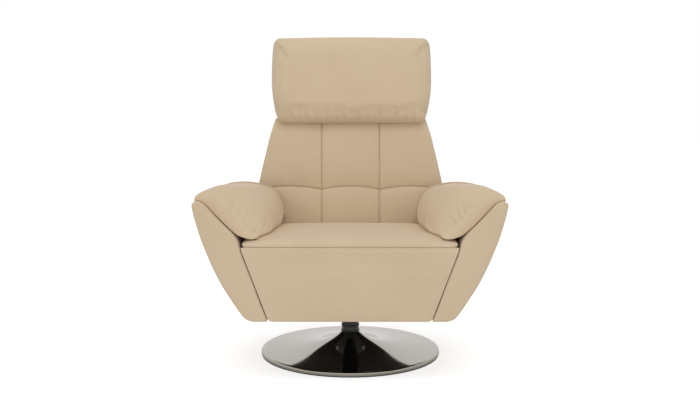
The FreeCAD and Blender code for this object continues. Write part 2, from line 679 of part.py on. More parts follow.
def make_back():
    low, tall = -size("back_low"), size("back_tall")
    web = -size("upright_front") - size("strap_thick")
    rear = size("back_rear")
    hip = size("back_hip_z")
    heights = [low, low * 0.7, low * 0.35, 0, hip]
    heights += [tall * share for share in (0.137, 0.235, 0.353, 0.451)] + [size("back_widest")]
    heights += [tall * share for share in (0.686, 0.824, 0.922, 0.976, 1)]
    up = lambda z: (lambda p: V(p.x, p.y, z))

    # rear shell, hollow for the frame; its lower corner is round about the axis
    wires = []
    for z in heights:
        half = back_half(z) - (14 if z == tall else 0)
        back = rear if z < tall - 15 else rear - (14 if z == tall else 4)
        if z < 0:
            back = max(math.sqrt(max(rear ** 2 - z ** 2, 0)), 8)
        wires.append(wire([(-half, web), (half, web), (half, back), (-half, back)], [0, 0, 6, 0]
                          if z >= 0 else [0, 0, 0.5, 0], up(z)))
    shell = Part.makeLoft(wires, True, True)
    uprights = size("upright_in") + size("upright_wide")
    room = uprights + size("ear_thick") + size("play")
    deep = size("upright_deep") - size("upright_front") + size("slip")
    shell = shell.cut(cuboid(-room, room, web - 1, deep, -size("upright_low") - size("slip"),
                             size("upright_top") + size("slip")))
    bore = size("pin_radius") + size("play")
    shell = shell.cut(Part.makeCylinder(bore, 1000, V(-500, 0, 0), V(1, 0, 0)))
    soft("back_shell", shell).Placement = leaning()

    # front cushion: three tufted columns in two rows, over a plain foot behind the seat
    face, swell, seam_x, seam_z = (size(n) for n in ("back_face", "tuft_swell", "tuft_x", "tuft_z"))
    sewn = size("back_sewn")
    levels = [low, hip, (hip + sewn) / 2]
    levels += [sewn + (seam_z - sewn) * share for share in (0, 0.07, 0.22, 0.4, 0.62, 0.79, 0.9, 0.97)]
    levels += [seam_z + (tall - seam_z) * share
               for share in (0, 0.02, 0.065, 0.14, 0.25, 0.4, 0.58, 0.75, 0.87, 0.94, 0.98, 1)]
    wires = []
    for z in levels:
        # each row swells between the seams below and above it
        if z < sewn:
            behind, share = 2, 0.03
        else:
            start, end = (sewn, seam_z) if z <= seam_z else (seam_z, tall)
            full = max(math.sin(math.pi * (z - start) / (end - start)), 0) ** 0.55
            behind = 18 + 14 * (1 - full) * min((z - sewn) / 60, 1)
            share = (0.42 + 0.58 * full) * min(0.1 + (z - sewn) / 60, 1)
        half = back_half(z) - (8 if z == tall else 0)
        y = -face + behind
        edge = y + 6 * share
        points = [(half, web), (half, edge), (seam_x, y), (-seam_x, y), (-half, edge), (-half, web)]
        columns = swell * share
        wires.append(wire(points, [0.5, columns, columns, columns, 0.5, 0], up(z)))
    cushion = Part.makeLoft(wires, True, True)
    half_slot = size("knuckle_wide") / 2 + size("play")
    for side in (-1, 1):
        x = side * size("knuckle_x")
        foot, eye = size("upright_top") - 30, size("tilt_z") - size("knuckle_radius") - 6
        slot = Part.makePolygon([V(x - half_slot, y, z) for y, z in (
            (web + 1, foot), (-size("tilt_y"), eye), (-200, eye), (-200, tall + 50),
            (web + 1, tall + 50), (web + 1, foot))])
        cushion = cushion.cut(Part.Face(slot).extrude(V(2 * half_slot, 0, 0)))
    soft("back_cushion", cushion).Placement = leaning()

    make_back_frame(web, low)


def make_back_frame(web, low):
    front, deep = "-upright_front", "upright_deep - upright_front"
    for side_name, side in SIDES:
        x0, x1 = mirrored_span(side, "upright_in", "upright_wide")
        name = f"back_upright_{side_name}"
        node(lean(block(name, x0, x1, front, deep, "-upright_low", "upright_top")), name)
        name = f"pivot_ear_{side_name}"
        eye = "upright_in + upright_wide"
        node(lean(side_plate(name, side, [
            (front, "-16"), ("16", "-16"), ("16", "60"), (front, "60")], eye, "ear_thick",
            [("0", "0", "pin_radius + fit")])), name)
        name = f"recline_pin_{side_name}"
        pin_end = "bracket_in + ear_thick + 2"
        node(lean(rod_x(name, side, eye, f"{pin_end} - ({eye})", "0", "0", "pin_radius")), name)
    rails = (("back_rail_top", "upright_top - 25", "upright_top"), ("back_rail_bottom", "20", "45"))
    for name, z0, z1 in rails:
        node(lean(block(name, "-upright_in", "upright_in", front, deep, z0, z1)), name)
    reach = "upright_in + upright_wide"
    straps = [block(f"back_strap{i}", f"-({reach})", reach, "-upright_front - strap_thick", front,
                    f"upright_top * {share}", f"upright_top * {share} + strap_wide")
              for i, share in enumerate((0.14, 0.33, 0.52, 0.71))]
    node(lean(fused("back_webbing", straps)), "back_webbing")
    for side_name, side in SIDES:
        name = f"headrest_hinge_lower_{side_name}"
        eye_y, eye_z = "-tilt_y", "tilt_z"
        leaf = [
            (front, "upright_top - 25"), (front, "upright_top - 4"),
            (f"{eye_y} + knuckle_radius * 0.5", f"{eye_z} + knuckle_radius * 0.87"),
            (f"{eye_y} - knuckle_radius * 0.5", f"{eye_z} + knuckle_radius * 0.87"),
            (f"{eye_y} - knuckle_radius", eye_z),
            (f"{eye_y} - knuckle_radius * 0.5", f"{eye_z} - knuckle_radius * 0.87"),
            (f"{front} - 5", "upright_top - 18"), (f"{front} - 5", "upright_top - 25")]
        node(lean(side_plate(name, side, leaf, "knuckle_x - knuckle_wide / 2", "knuckle_wide",
                             [(eye_y, eye_z, "head_pin + fit")])), name)


def make_seat_brackets():
    for side_name, side in SIDES:
        name = f"recline_bracket_{side_name}"
        high, top = "body_floor + swivel_thick + beam_high", "seat_bottom - strap_thick"
        rear, eye = "pivot_y", "bracket_eye"
        node(side_plate(name, side, [
            ("beam_step - rail_wide", f"{high} + 7"), (f"{rear} - 8", f"pivot_z - {eye}"),
            (f"{rear} + 8", f"pivot_z - {eye}"), (f"{rear} + {eye}", "pivot_z - 8"),
            (f"{rear} + {eye}", "pivot_z + 8"), (f"{rear} + 8", f"pivot_z + {eye}"),
            (f"{rear} - 8", f"pivot_z + {eye}"), ("seat_rear + 10", top),
            ("beam_step - rail_wide", top)], "bracket_in", "ear_thick",
            [(rear, "pivot_z", "pin_radius + fit")]), name)
        name = f"footrest_bracket_{side_name}"
        post, axis_y, axis_z = "-seat_block - 3", "-swing_y", "swing_z"
        node(side_plate(name, side, [
            ("-beam_front", f"{high} + 2"), ("-beam_front", f"{top} - 2"),
            (post, f"{top} - 2"), (post, f"{axis_z} + foot_eye - 1"),
            (f"{axis_y} + 5", f"{axis_z} + foot_eye - 1"),
            (f"{axis_y} - 6", f"{axis_z} + foot_eye - 2"), (f"{axis_y} - foot_eye + 1", axis_z),
            (f"{axis_y} - 5", f"{axis_z} - foot_eye + 1"),
            (f"{post} - 14", f"{axis_z} - foot_eye + 1"), (f"{post} - 14", f"{high} + 2")],
            "foot_bracket_x", "foot_plate", [(axis_y, axis_z, "foot_pin + fit")]), name)


# The headrest, also drawn about the recline axis

def make_headrest():
    axis_y, axis_z, roll = -size("tilt_y"), size("tilt_z"), size("roll")
    tall, deep = size("head_tall"), size("head_deep")
    half, foot = size("head_half"), size("head_foot")
    # distance from the middle as a share, drop of the top, share of the thickness
    stations = [(-1.0, 34, 0.45), (-0.955, 12, 0.74), (-0.80, 3, 0.93), (-0.40, 1, 1.0),
                (0.0, 0, 1.0), (0.40, 1, 1.0), (0.80, 3, 0.93), (0.955, 12, 0.74), (1.0, 34, 0.45)]
    wires = []
    for share, drop, full in stations:
        x = half * share
        top = axis_z + tall - drop
        thick = (deep + roll) * full
        rear = axis_y - roll + (deep + roll) * 0.5 + thick * 0.5
        front = axis_y - roll * (0.4 + 0.6 * full)
        low, chin = axis_z + 6 + drop, axis_z - 1 + drop
        points = [(front, chin), (front + 4, top - 20), (front + 26, top), (rear - 22, top),
                  (rear, top - 24), (rear, low + 8), (rear - 6, low), (axis_y + roll + 3, low),
                  (axis_y + roll, chin)]
        swells = [8 * full, 5, 1, 5, 1, 2, 0.5, 0.5, (roll - 2) * (0.5 + 0.5 * full)]
        wires.append(wire(points, swells, lambda p: V(x, p.x, p.y)))
    pad_shape = Part.makeLoft(wires, True, False)
    # the sides lean in towards the foot
    for side in (-1, 1):
        corner = [V(side * foot, -400, axis_z - 60), V(side * foot, -400, axis_z - roll),
                  V(side * (half + 1), -400, axis_z + 110), V(side * (half + 60), -400, axis_z + 110),
                  V(side * (half + 60), -400, axis_z - 60), V(side * foot, -400, axis_z - 60)]
        pad_shape = pad_shape.cut(Part.Face(Part.makePolygon(corner)).extrude(V(0, 800, 0)))
    gap = size("slip")
    y0 = axis_y + size("head_board_y")
    z0 = axis_z + size("head_board_z")
    wide, thick = size("head_board_half"), size("head_board_thick")
    pad_shape = pad_shape.cut(cuboid(-wide - gap, wide + gap, y0 - gap, y0 + thick + gap, z0 - gap,
                                     z0 + size("head_board_tall") + gap))
    inner = size("knuckle_x") - size("knuckle_wide") / 2 - size("play")
    outer = size("knuckle_x") + size("knuckle_wide") / 2 + size("hinge_plate") + size("play") * 2
    for side in (-1, 1):
        x0, x1 = sorted((side * inner, side * outer))
        pad_shape = pad_shape.cut(cuboid(x0, x1, axis_y - size("knuckle_radius") - 4,
                                         y0 + thick + gap, axis_z - roll - 20, z0 + gap))
    soft("headrest_pad", pad_shape).Placement = leaning()

    board_y, board_z = "head_board_y - tilt_y", "tilt_z + head_board_z"
    node(lean(block("headrest_board", "-head_board_half", "head_board_half", board_y,
                    f"{board_y} + head_board_thick", board_z, f"{board_z} + head_board_tall")),
         "headrest_board")
    plate_x = "knuckle_x + knuckle_wide / 2 + play / 2"
    for side_name, side in SIDES:
        name = f"headrest_hinge_upper_{side_name}"
        y, z, r = "-tilt_y", "tilt_z", "knuckle_radius"
        node(lean(side_plate(name, side, [
            (f"{y} - {r} * 0.7", f"{z} - {r} * 0.7"), (f"{y} + {r} * 0.7", f"{z} - {r} * 0.7"),
            (f"{board_y} + head_board_thick", board_z), (board_y, board_z),
            (f"{y} - {r}", z)], plate_x, "hinge_plate", [(y, z, "head_pin + fit")])), name)
        name = f"headrest_pin_{side_name}"
        start = "knuckle_x - knuckle_wide / 2 - play / 2"
        node(lean(rod_x(name, side, start, f"{plate_x} + hinge_plate + play / 2 - ({start})", y, z,
                        "head_pin")), name)


# The footrest, closed: it is the apron under the seat

def side_clear(radius):
    """Half width that clears the arms as a point this far from the axis swings down."""
    return size(arm_face(f"swing_z - {radius}")) - size("pad_gap")


def make_footrest():
    y, z, front = -size("swing_y"), size("swing_z"), -size("front")
    radius = y - front
    floor, rear = size("pad_floor"), front + size("pad_deep")
    gap = size("pad_gap")
    stations = [(z, 0.15), (z - 30, 0.45), (z - 90, 0.9), ((z + floor) / 2, 1.0), (floor + 30, 0.6),
                (floor, 0.2)]
    wires = []
    for level, full in stations:
        half = size(arm_face(level)) - gap
        inner = side_clear(math.hypot(rear - y, z - level))
        points = [(-half, front + 1), (half, front + 1), (inner, rear), (-inner, rear)]
        wires.append(wire(points, [6 * full, 0, 0, 0], lambda p: V(p.x, p.y, level)))
    body = Part.makeLoft(wires, True, False)
    half, inner = side_clear(radius), side_clear(rear - y)
    top = Part.makeCylinder(radius, 2 * half, V(-half, y, z), V(1, 0, 0))
    top = top.common(cuboid(-half, half, y - radius, y + radius, z - 0.5, z + radius))
    body = body.fuse(top.fuse(cuboid(-inner, inner, y, rear, z - 0.5, z)))
    slot_top, slot_low = z + radius + 10, z - size("foot_board_top") - size("play")
    inner = size("foot_bracket_x") - size("play") * 2
    outer = size("foot_bracket_x") + 2 * size("foot_plate") + size("play") * 3
    for side in (-1, 1):
        x0, x1 = sorted((side * inner, side * outer))
        body = body.cut(cuboid(x0, x1, y - size("foot_eye") - size("play"), rear + 10, slot_low,
                               slot_top))
    soft("footrest_pad", body)

    board_y = "pad_deep - front"
    board_low, board_high = "pad_floor + 8", "swing_z - foot_board_top"
    low_half, high_half = (f"({arm_face(level)} - pad_gap - 12)" for level in (board_low, board_high))
    node(cross_piece("footrest_board", [
        (f"-{low_half}", board_low), (low_half, board_low), (high_half, board_high),
        (f"-{high_half}", board_high)], board_y, f"{board_y} + foot_board"), "footrest_board")
    arm_x = "foot_bracket_x + foot_plate + play / 2"
    for side_name, side in SIDES:
        name = f"footrest_arm_{side_name}"
        py, pz, r = "-swing_y", "swing_z", "foot_eye"
        node(side_plate(name, side, [
            (board_y, board_high), (f"{board_y} + foot_board", board_high),
            (f"{board_y} + foot_board", f"{board_high} + 8"), (f"{py} + {r} * 0.5", f"{pz} + {r} * 0.8"),
            (f"{py} - {r} * 0.5", f"{pz} + {r} * 0.8"), (f"{py} - {r} * 0.9", pz),
            (f"{py} - {r} * 0.5", f"{pz} - {r} * 0.8")], arm_x, "foot_plate",
            [(py, pz, "foot_pin + fit")]), name)
        name = f"footrest_pin_{side_name}"
        start = "foot_bracket_x - play"
        node(rod_x(name, side, start, f"{arm_x} + foot_plate + play - ({start})", py, pz,
                   "foot_pin"), name)


def check_and_save():
    doc.recompute()
    failed = [f"{obj.Name} {obj.State}" for obj in doc.Objects
              if "Invalid" in obj.State or "Error" in obj.State]
    failed += [f"{obj.Label} has no sound shape" for obj in NODES
               if obj.Shape.isNull() or not obj.Shape.isValid() or not obj.Shape.Solids]
    if failed:
        raise RuntimeError("; ".join(failed))
    os.makedirs("parts", exist_ok=True)
    for obj in NODES:
        obj.Shape.exportStep(f"parts/{obj.Label}.step")
    print(len(NODES), "pieces saved")


make_base()
make_swivel()
make_frame()
make_arms()
make_seat_cushion()
make_seat_brackets()
make_back()
make_headrest()
make_footrest()
check_and_save()
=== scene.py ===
import json
import math

import bpy
import numpy as np
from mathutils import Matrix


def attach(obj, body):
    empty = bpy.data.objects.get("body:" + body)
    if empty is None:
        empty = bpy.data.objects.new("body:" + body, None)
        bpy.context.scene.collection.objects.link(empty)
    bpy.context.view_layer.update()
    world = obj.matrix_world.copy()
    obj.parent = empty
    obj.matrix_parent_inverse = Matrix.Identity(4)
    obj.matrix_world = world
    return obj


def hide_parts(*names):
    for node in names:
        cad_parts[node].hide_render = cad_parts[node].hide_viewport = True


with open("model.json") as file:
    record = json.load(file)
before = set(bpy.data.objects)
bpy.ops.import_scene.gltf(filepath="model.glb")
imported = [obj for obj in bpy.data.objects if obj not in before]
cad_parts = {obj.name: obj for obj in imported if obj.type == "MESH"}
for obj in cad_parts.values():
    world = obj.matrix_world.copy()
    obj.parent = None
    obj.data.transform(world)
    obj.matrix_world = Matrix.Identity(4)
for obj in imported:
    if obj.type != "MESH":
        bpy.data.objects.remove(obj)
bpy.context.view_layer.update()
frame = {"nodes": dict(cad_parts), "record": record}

# Looks of the swivel recliner. Shapes are drawn in millimetres and made in metres,
# in the frame of the CAD model: X to the viewer's right, Y to the back, Z up.


# Sums that shapes are drawn with

def ease(x, start, end):
    """0 before start, 1 after end, and smooth between."""
    t = np.clip((x - start) / (end - start), 0, 1)
    return t * t * (3 - 2 * t)


def dip(distance, width):
    """A narrow dip, as thread pulls into padding."""
    return np.exp(-(distance / width) ** 2)


def plump(u, power=3.0):
    """Padding between two seams at u = 0 and u = 1: steep beside them, flat in the middle."""
    return np.sqrt(np.clip(1 - np.abs(2 * u - 1) ** power, 0, 1))


def wander(points, length, seed):
    """Slow unevenness over a surface, about -1 to 1."""
    rng = np.random.default_rng(seed)
    total = np.zeros(len(points))
    for _ in range(7):
        way = rng.normal(size=3)
        way *= 2 * math.pi / (length * rng.uniform(0.6, 1.6) * np.linalg.norm(way))
        total += np.sin(points @ way + rng.uniform(0, 6.28))
    return total * 0.23


def stretched(value, old, new, band):
    """Widens a piece from one half width to another and keeps its round edges as they are."""
    size, side = np.abs(value), np.sign(value)
    edge = new - (old - size)
    middle = size * (new - band) / (old - band)
    return side * np.where(size > old - band, edge, middle)


def rounded_corner(across, up, corner_across, corner_up, radius, way=(1, 1)):
    """Rounds one corner of an outline that was square."""
    dx = (across - (corner_across - way[0] * radius)) * way[0]
    dz = (up - (corner_up - way[1] * radius)) * way[1]
    inside = (dx > 0) & (dz > 0)
    length = np.where(inside, np.hypot(dx, dz), 1)
    scale = np.where(inside, np.maximum(dx, dz) / np.maximum(length, 1e-6), 1)
    new_across = np.where(inside, corner_across - way[0] * radius + way[0] * dx * scale, across)
    new_up = np.where(inside, corner_up - way[1] * radius + way[1] * dz * scale, up)
    return new_across, new_up


# Mesh making

def padded_block(half, radius, gap=8.0, steps=5, lines=((), (), ())):
    """Points and faces of a box with round edges. Lines are more places to cut along each axis."""
    places = []
    for h, extra in zip(half, lines):
        flat = h - radius
        even = np.linspace(-flat, flat, max(int(round(2 * flat / gap)), 1) + 1)
        bend = flat + radius * np.tan(np.radians(np.linspace(0, 45, steps + 1)))[1:]
        along = np.concatenate([-bend, even, bend, np.asarray(extra, float)])
        places.append(np.unique(np.round(along, 3)))
    counts = [len(p) for p in places]
    quads = []
    for axis in range(3):
        u, v = (axis + 1) % 3, (axis + 2) % 3
        i, j = np.meshgrid(np.arange(counts[u] - 1), np.arange(counts[v] - 1), indexing="ij")
        i, j = i.ravel(), j.ravel()
        for end in (0, counts[axis] - 1):
            corners = []
            for di, dj in ((0, 0), (1, 0), (1, 1), (0, 1)):
                key = [None] * 3
                key[axis], key[u], key[v] = np.full(len(i), end), i + di, j + dj
                corners.append((key[0] * counts[1] + key[1]) * counts[2] + key[2])
            quad = np.column_stack(corners)
            quads.append(quad if end else quad[:, ::-1])
    used, faces = np.unique(np.concatenate(quads), return_inverse=True)
    a, b, c = np.unravel_index(used, counts)
    points = np.column_stack([places[0][a], places[1][b], places[2][c]])
    core = np.array(half, float) - radius
    inner = np.clip(points, -core, core)
    out = points - inner
    points = inner + out * (radius / np.linalg.norm(out, axis=1))[:, None]
    return points, faces.reshape(-1, 4).tolist()


def beads(path, radius, sides=8, closed=False):
    """A thin round cord along a line, for piping and rolled edges."""
    path = np.asarray(path, float)
    count = len(path)
    if closed:
        ahead, behind = np.roll(path, -1, axis=0), np.roll(path, 1, axis=0)
    else:
        ahead = np.vstack([path[1:], path[-1:]])
        behind = np.vstack([path[:1], path[:-1]])
    way = ahead - behind
    way /= np.linalg.norm(way, axis=1)[:, None]
    flat = np.cross(way[0], (0.31, 0.87, 0.39))
    rings = []
    turn = np.linspace(0, 2 * math.pi, sides, endpoint=False)
    for i in range(count):
        flat = flat - way[i] * (flat @ way[i])
        flat /= np.linalg.norm(flat)
        up = np.cross(way[i], flat)
        rings.append(path[i] + radius * (np.cos(turn)[:, None] * flat + np.sin(turn)[:, None] * up))
    points = np.concatenate(rings)
    faces = []
    last = count if closed else count - 1
    for i in range(last):
        n = (i + 1) % count
        for s in range(sides):
            t = (s + 1) % sides
            faces.append([i * sides + s, i * sides + t, n * sides + t, n * sides + s])
    if not closed:
        faces.append(list(range(sides))[::-1])
        faces.append([(count - 1) * sides + s for s in range(sides)])
    return points, faces


def joined(*parts):
    """Several meshes as one."""
    points, faces, start = [], [], 0
    for part_points, part_faces in parts:
        points.append(np.asarray(part_points))
        faces += [[start + i for i in face] for face in part_faces]
        start += len(part_points)
    return np.concatenate(points), faces


def turned(profile, steps=160):
    """A shape turned round the swivel axis. The profile is a closed line of (radius, height)."""
    profile = np.asarray(profile, float)
    count = len(profile)
    angles = np.linspace(0, 2 * math.pi, steps, endpoint=False)
    points = np.concatenate([
        np.column_stack([profile[:, 0] * math.cos(a), profile[:, 0] * math.sin(a), profile[:, 1]])
        for a in angles])
    faces = []
    for i in range(steps):
        n = (i + 1) % steps
        for k in range(count):
            m = (k + 1) % count
            faces.append([i * count + k, n * count + k, n * count + m, i * count + m])
    return points, faces


def piece(name, shape, body, slot, stands_for=()):
    """Makes a shape into a piece that moves with a body and takes a slot's finish."""
    points, faces = shape
    mesh = bpy.data.meshes.new(name)
    mesh.from_pydata((np.asarray(points) / 1000).tolist(), [], faces)
    mesh.validate()
    mesh.polygons.foreach_set("use_smooth", [True] * len(mesh.polygons))
    mesh.update()
    made = bpy.data.objects.new(name, mesh)
    bpy.context.scene.collection.objects.link(made)
    made.data.materials.append(FINISHES[slot])
    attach(made, body)
    if stands_for:
        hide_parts(*stands_for)


# how long the simulation runs, and in how many steps a weight is told apart
CLOTH_FRAMES, WEIGHT_STEPS = 20, 20


def filled_out(shape, held, loose, pressure, spare, cap):
    """Simulates a cover over its filling. Pressure swells it, held points such as seams stay put,
    and loose parts have some cloth to spare, so that they pucker. No point moves beyond the cap."""
    points, faces = shape
    scene = bpy.context.scene
    mesh = bpy.data.meshes.new("trial_cover")
    mesh.from_pydata((points / 1000).tolist(), [], faces)
    trial = bpy.data.objects.new("trial_cover", mesh)
    scene.collection.objects.link(trial)
    for label, weights in (("held", held), ("loose", loose)):
        group = trial.vertex_groups.new(name=label)
        levels = np.round(np.clip(weights, 0, 1) * WEIGHT_STEPS).astype(int)
        for level in range(1, WEIGHT_STEPS + 1):
            group.add(np.flatnonzero(levels == level).tolist(), level / WEIGHT_STEPS, "REPLACE")
    cover = trial.modifiers.new("cover", "CLOTH")
    fabric = cover.settings
    fabric.quality = 5
    fabric.mass = 0.25
    fabric.tension_stiffness = 18
    fabric.compression_stiffness = 12
    fabric.shear_stiffness = 6
    fabric.bending_stiffness = 0.08
    fabric.use_pressure = True
    fabric.uniform_pressure_force = pressure
    fabric.vertex_group_mass = "held"
    fabric.pin_stiffness = 1.0
    fabric.vertex_group_shrink = "loose"
    fabric.shrink_min = 0.0
    fabric.shrink_max = -spare
    fabric.effector_weights.gravity = 0
    cover.collision_settings.use_collision = False
    cover.collision_settings.use_self_collision = False
    cover.point_cache.frame_start, cover.point_cache.frame_end = 1, CLOTH_FRAMES
    for step in range(1, CLOTH_FRAMES + 1):
        scene.frame_set(step)
    seen = trial.evaluated_get(bpy.context.evaluated_depsgraph_get())
    result = seen.to_mesh()
    moved = np.empty(len(points) * 3)
    result.vertices.foreach_get("co", moved)
    seen.to_mesh_clear()
    scene.frame_set(1)
    bpy.data.objects.remove(trial)
    bpy.data.meshes.remove(mesh)
    shift = moved.reshape(-1, 3) * 1000 - points
    size = np.maximum(np.linalg.norm(shift, axis=1), 1e-6)
    shift *= np.minimum(1, cap / size)[:, None]
    return points + shift, faces


# Finishes

def new_group(name, inputs, outputs):
    """An empty shader group with named sockets."""
    group = bpy.data.node_groups.new(name, "ShaderNodeTree")
    for label, kind, value in inputs:
        socket = group.interface.new_socket(label, in_out="INPUT", socket_type=kind)
        if value is not None:
            socket.default_value = value
    for label, kind in outputs:
        group.interface.new_socket(label, in_out="OUTPUT", socket_type=kind)
    return group, group.nodes.new("NodeGroupInput"), group.nodes.new("NodeGroupOutput")


def place(tree, kind, **settings):
    """Adds a node to a tree, with its settings."""
    made = tree.nodes.new(kind)
    for key, value in settings.items():
        setattr(made, key, value)
    return made


def sums(tree, operation, a, b=None, clamp=False):
    """A Math node; a and b are sockets or numbers."""
    made = place(tree, "ShaderNodeMath", operation=operation, use_clamp=clamp)
    for socket, value in zip(made.inputs, (a, b)):
        if value is None:
            continue
        if hasattr(value, "is_linked"):
            tree.links.new(value, socket)
        else:
            socket.default_value = value
    return made.outputs[0]


def noise(tree, vector, scale, detail=3.0, roughness=0.5):
    """A cloudy pattern of a given scale."""
    made = place(tree, "ShaderNodeTexNoise")
    made.inputs["Detail"].default_value = detail
    made.inputs["Roughness"].default_value = roughness
    tree.links.new(vector, made.inputs["Vector"])
    if hasattr(scale, "is_linked"):
        tree.links.new(scale, made.inputs["Scale"])
    else:
        made.inputs["Scale"].default_value = scale
    return made.outputs["Fac"]


def leather_grain():
    """Fine pebble, soft creases and the slow change of tone across a hide."""
    group, given, result = new_group(
        "leather_grain",
        [("Vector", "NodeSocketVector", None), ("Pebble", "NodeSocketFloat", 420.0),
         ("Crease", "NodeSocketFloat", 0.35), ("Cloudiness", "NodeSocketFloat", 0.5)],
        [("Height", "NodeSocketFloat"), ("Tone", "NodeSocketFloat"), ("Wear", "NodeSocketFloat")])
    vector = given.outputs["Vector"]
    cells = place(group, "ShaderNodeTexVoronoi", feature="SMOOTH_F1")
    cells.inputs["Smoothness"].default_value = 0.6
    group.links.new(vector, cells.inputs["Vector"])
    group.links.new(given.outputs["Pebble"], cells.inputs["Scale"])
    fine = noise(group, vector, sums(group, "MULTIPLY", given.outputs["Pebble"], 1.7), 4.0, 0.6)
    soft = noise(group, vector, 34.0, 3.0, 0.55)
    crease = sums(group, "MULTIPLY", sums(group, "SUBTRACT", soft, 0.5), given.outputs["Crease"])
    pebble = sums(group, "ADD", sums(group, "MULTIPLY", cells.outputs["Distance"], -0.55),
                  sums(group, "MULTIPLY", fine, 0.35))
    group.links.new(sums(group, "ADD", pebble, crease), result.inputs["Height"])
    cloud = noise(group, vector, 5.0, 2.0, 0.5)
    mottle = noise(group, vector, 62.0, 3.0, 0.6)
    mixed = sums(group, "ADD", sums(group, "MULTIPLY", cloud, 0.65),
                 sums(group, "MULTIPLY", mottle, 0.35))
    swing = sums(group, "MULTIPLY", sums(group, "SUBTRACT", mixed, 0.5),
                 given.outputs["Cloudiness"])
    group.links.new(sums(group, "ADD", swing, 0.5, clamp=True), result.inputs["Tone"])
    group.links.new(noise(group, vector, 12.0, 4.0, 0.6), result.inputs["Wear"])
    return group


def metal_marks():
    """Faint cloudiness and hairline marks on polished or plated metal."""
    group, given, result = new_group(
        "metal_marks",
        [("Vector", "NodeSocketVector", None), ("Scale", "NodeSocketFloat", 18.0),
         ("Amount", "NodeSocketFloat", 0.1)],
        [("Marks", "NodeSocketFloat"), ("Height", "NodeSocketFloat")])
    vector = given.outputs["Vector"]
    smudge = noise(group, vector, given.outputs["Scale"], 5.0, 0.65)
    fine = noise(group, vector, sums(group, "MULTIPLY", given.outputs["Scale"], 22.0), 2.0, 0.5)
    marks = sums(group, "MULTIPLY", sums(group, "SUBTRACT", smudge, 0.42, clamp=True),
                 given.outputs["Amount"])
    group.links.new(marks, result.inputs["Marks"])
    group.links.new(fine, result.inputs["Height"])
    return group


def woven_threads():
    """Threads over and under each other, for straps and lining."""
    group, given, result = new_group(
        "woven_threads",
        [("Vector", "NodeSocketVector", None), ("Thread", "NodeSocketFloat", 700.0)],
        [("Height", "NodeSocketFloat"), ("Tone", "NodeSocketFloat")])
    heights = []
    for direction in ("X", "Y", "Z"):
        wave = place(group, "ShaderNodeTexWave", wave_type="BANDS", bands_direction=direction)
        wave.inputs["Distortion"].default_value = 0.6
        group.links.new(given.outputs["Vector"], wave.inputs["Vector"])
        group.links.new(given.outputs["Thread"], wave.inputs["Scale"])
        heights.append(wave.outputs["Fac"])
    both = sums(group, "ADD", heights[0], sums(group, "MULTIPLY", heights[1], heights[2]))
    group.links.new(sums(group, "MULTIPLY", both, 0.5), result.inputs["Height"])
    speck = noise(group, given.outputs["Vector"], 160.0, 3.0, 0.6)
    group.links.new(speck, result.inputs["Tone"])
    return group


def timber_figure():
    """Rings and pores of sawn softwood."""
    group, given, result = new_group(
        "timber_figure",
        [("Vector", "NodeSocketVector", None), ("Ring", "NodeSocketFloat", 9.0)],
        [("Tone", "NodeSocketFloat"), ("Height", "NodeSocketFloat")])
    wave = place(group, "ShaderNodeTexWave", wave_type="RINGS", rings_direction="X")
    wave.inputs["Distortion"].default_value = 5.0
    wave.inputs["Detail"].default_value = 3.0
    group.links.new(given.outputs["Vector"], wave.inputs["Vector"])
    group.links.new(given.outputs["Ring"], wave.inputs["Scale"])
    pores = noise(group, given.outputs["Vector"], 220.0, 2.0, 0.5)
    group.links.new(sums(group, "ADD", sums(group, "MULTIPLY", wave.outputs["Fac"], 0.7),
                         sums(group, "MULTIPLY", pores, 0.3)), result.inputs["Tone"])
    group.links.new(pores, result.inputs["Height"])
    return group


def finish(name, shader_values):
    """A material with a Principled shader and the piece's own coordinates."""
    made = bpy.data.materials.new(name)
    made.use_nodes = True
    tree = made.node_tree
    shader = tree.nodes["Principled BSDF"]
    for label, value in shader_values.items():
        shader.inputs[label].default_value = value
    coordinates = tree.nodes.new("ShaderNodeTexCoord")
    return made, tree, shader, coordinates.outputs["Object"]


def placed_group(tree, group, vector, **values):
    """Puts a group in a tree and gives it its values."""
    made = place(tree, "ShaderNodeGroup", node_tree=group)
    tree.links.new(vector, made.inputs["Vector"])
    for label, value in values.items():
        made.inputs[label].default_value = value
    return made


def blended(tree, share, dark, light):
    """Base colour between two tones."""
    made = place(tree, "ShaderNodeMix", data_type="RGBA")
    tree.links.new(share, made.inputs["Factor"])
    made.inputs["A"].default_value = (*dark, 1)
    made.inputs["B"].default_value = (*light, 1)
    return made.outputs["Result"]


def spread(tree, value, low, high):
    """Moves a 0 to 1 value into a range."""
    made = place(tree, "ShaderNodeMapRange")
    tree.links.new(value, made.inputs["Value"])
    made.inputs["To Min"].default_value = low
    made.inputs["To Max"].default_value = high
    return made.outputs["Result"]


def roughen(tree, shader, height, distance, strength=1.0):
    bump = place(tree, "ShaderNodeBump")
    bump.inputs["Distance"].default_value = distance
    bump.inputs["Strength"].default_value = strength
    tree.links.new(height, bump.inputs["Height"])
    tree.links.new(bump.outputs["Normal"], shader.inputs["Normal"])


HIDE_DARK, HIDE_LIGHT = (0.570, 0.432, 0.282), (0.685, 0.548, 0.380)
BLACK, WORN_BLACK = (0.008, 0.008, 0.008), (0.03, 0.028, 0.026)


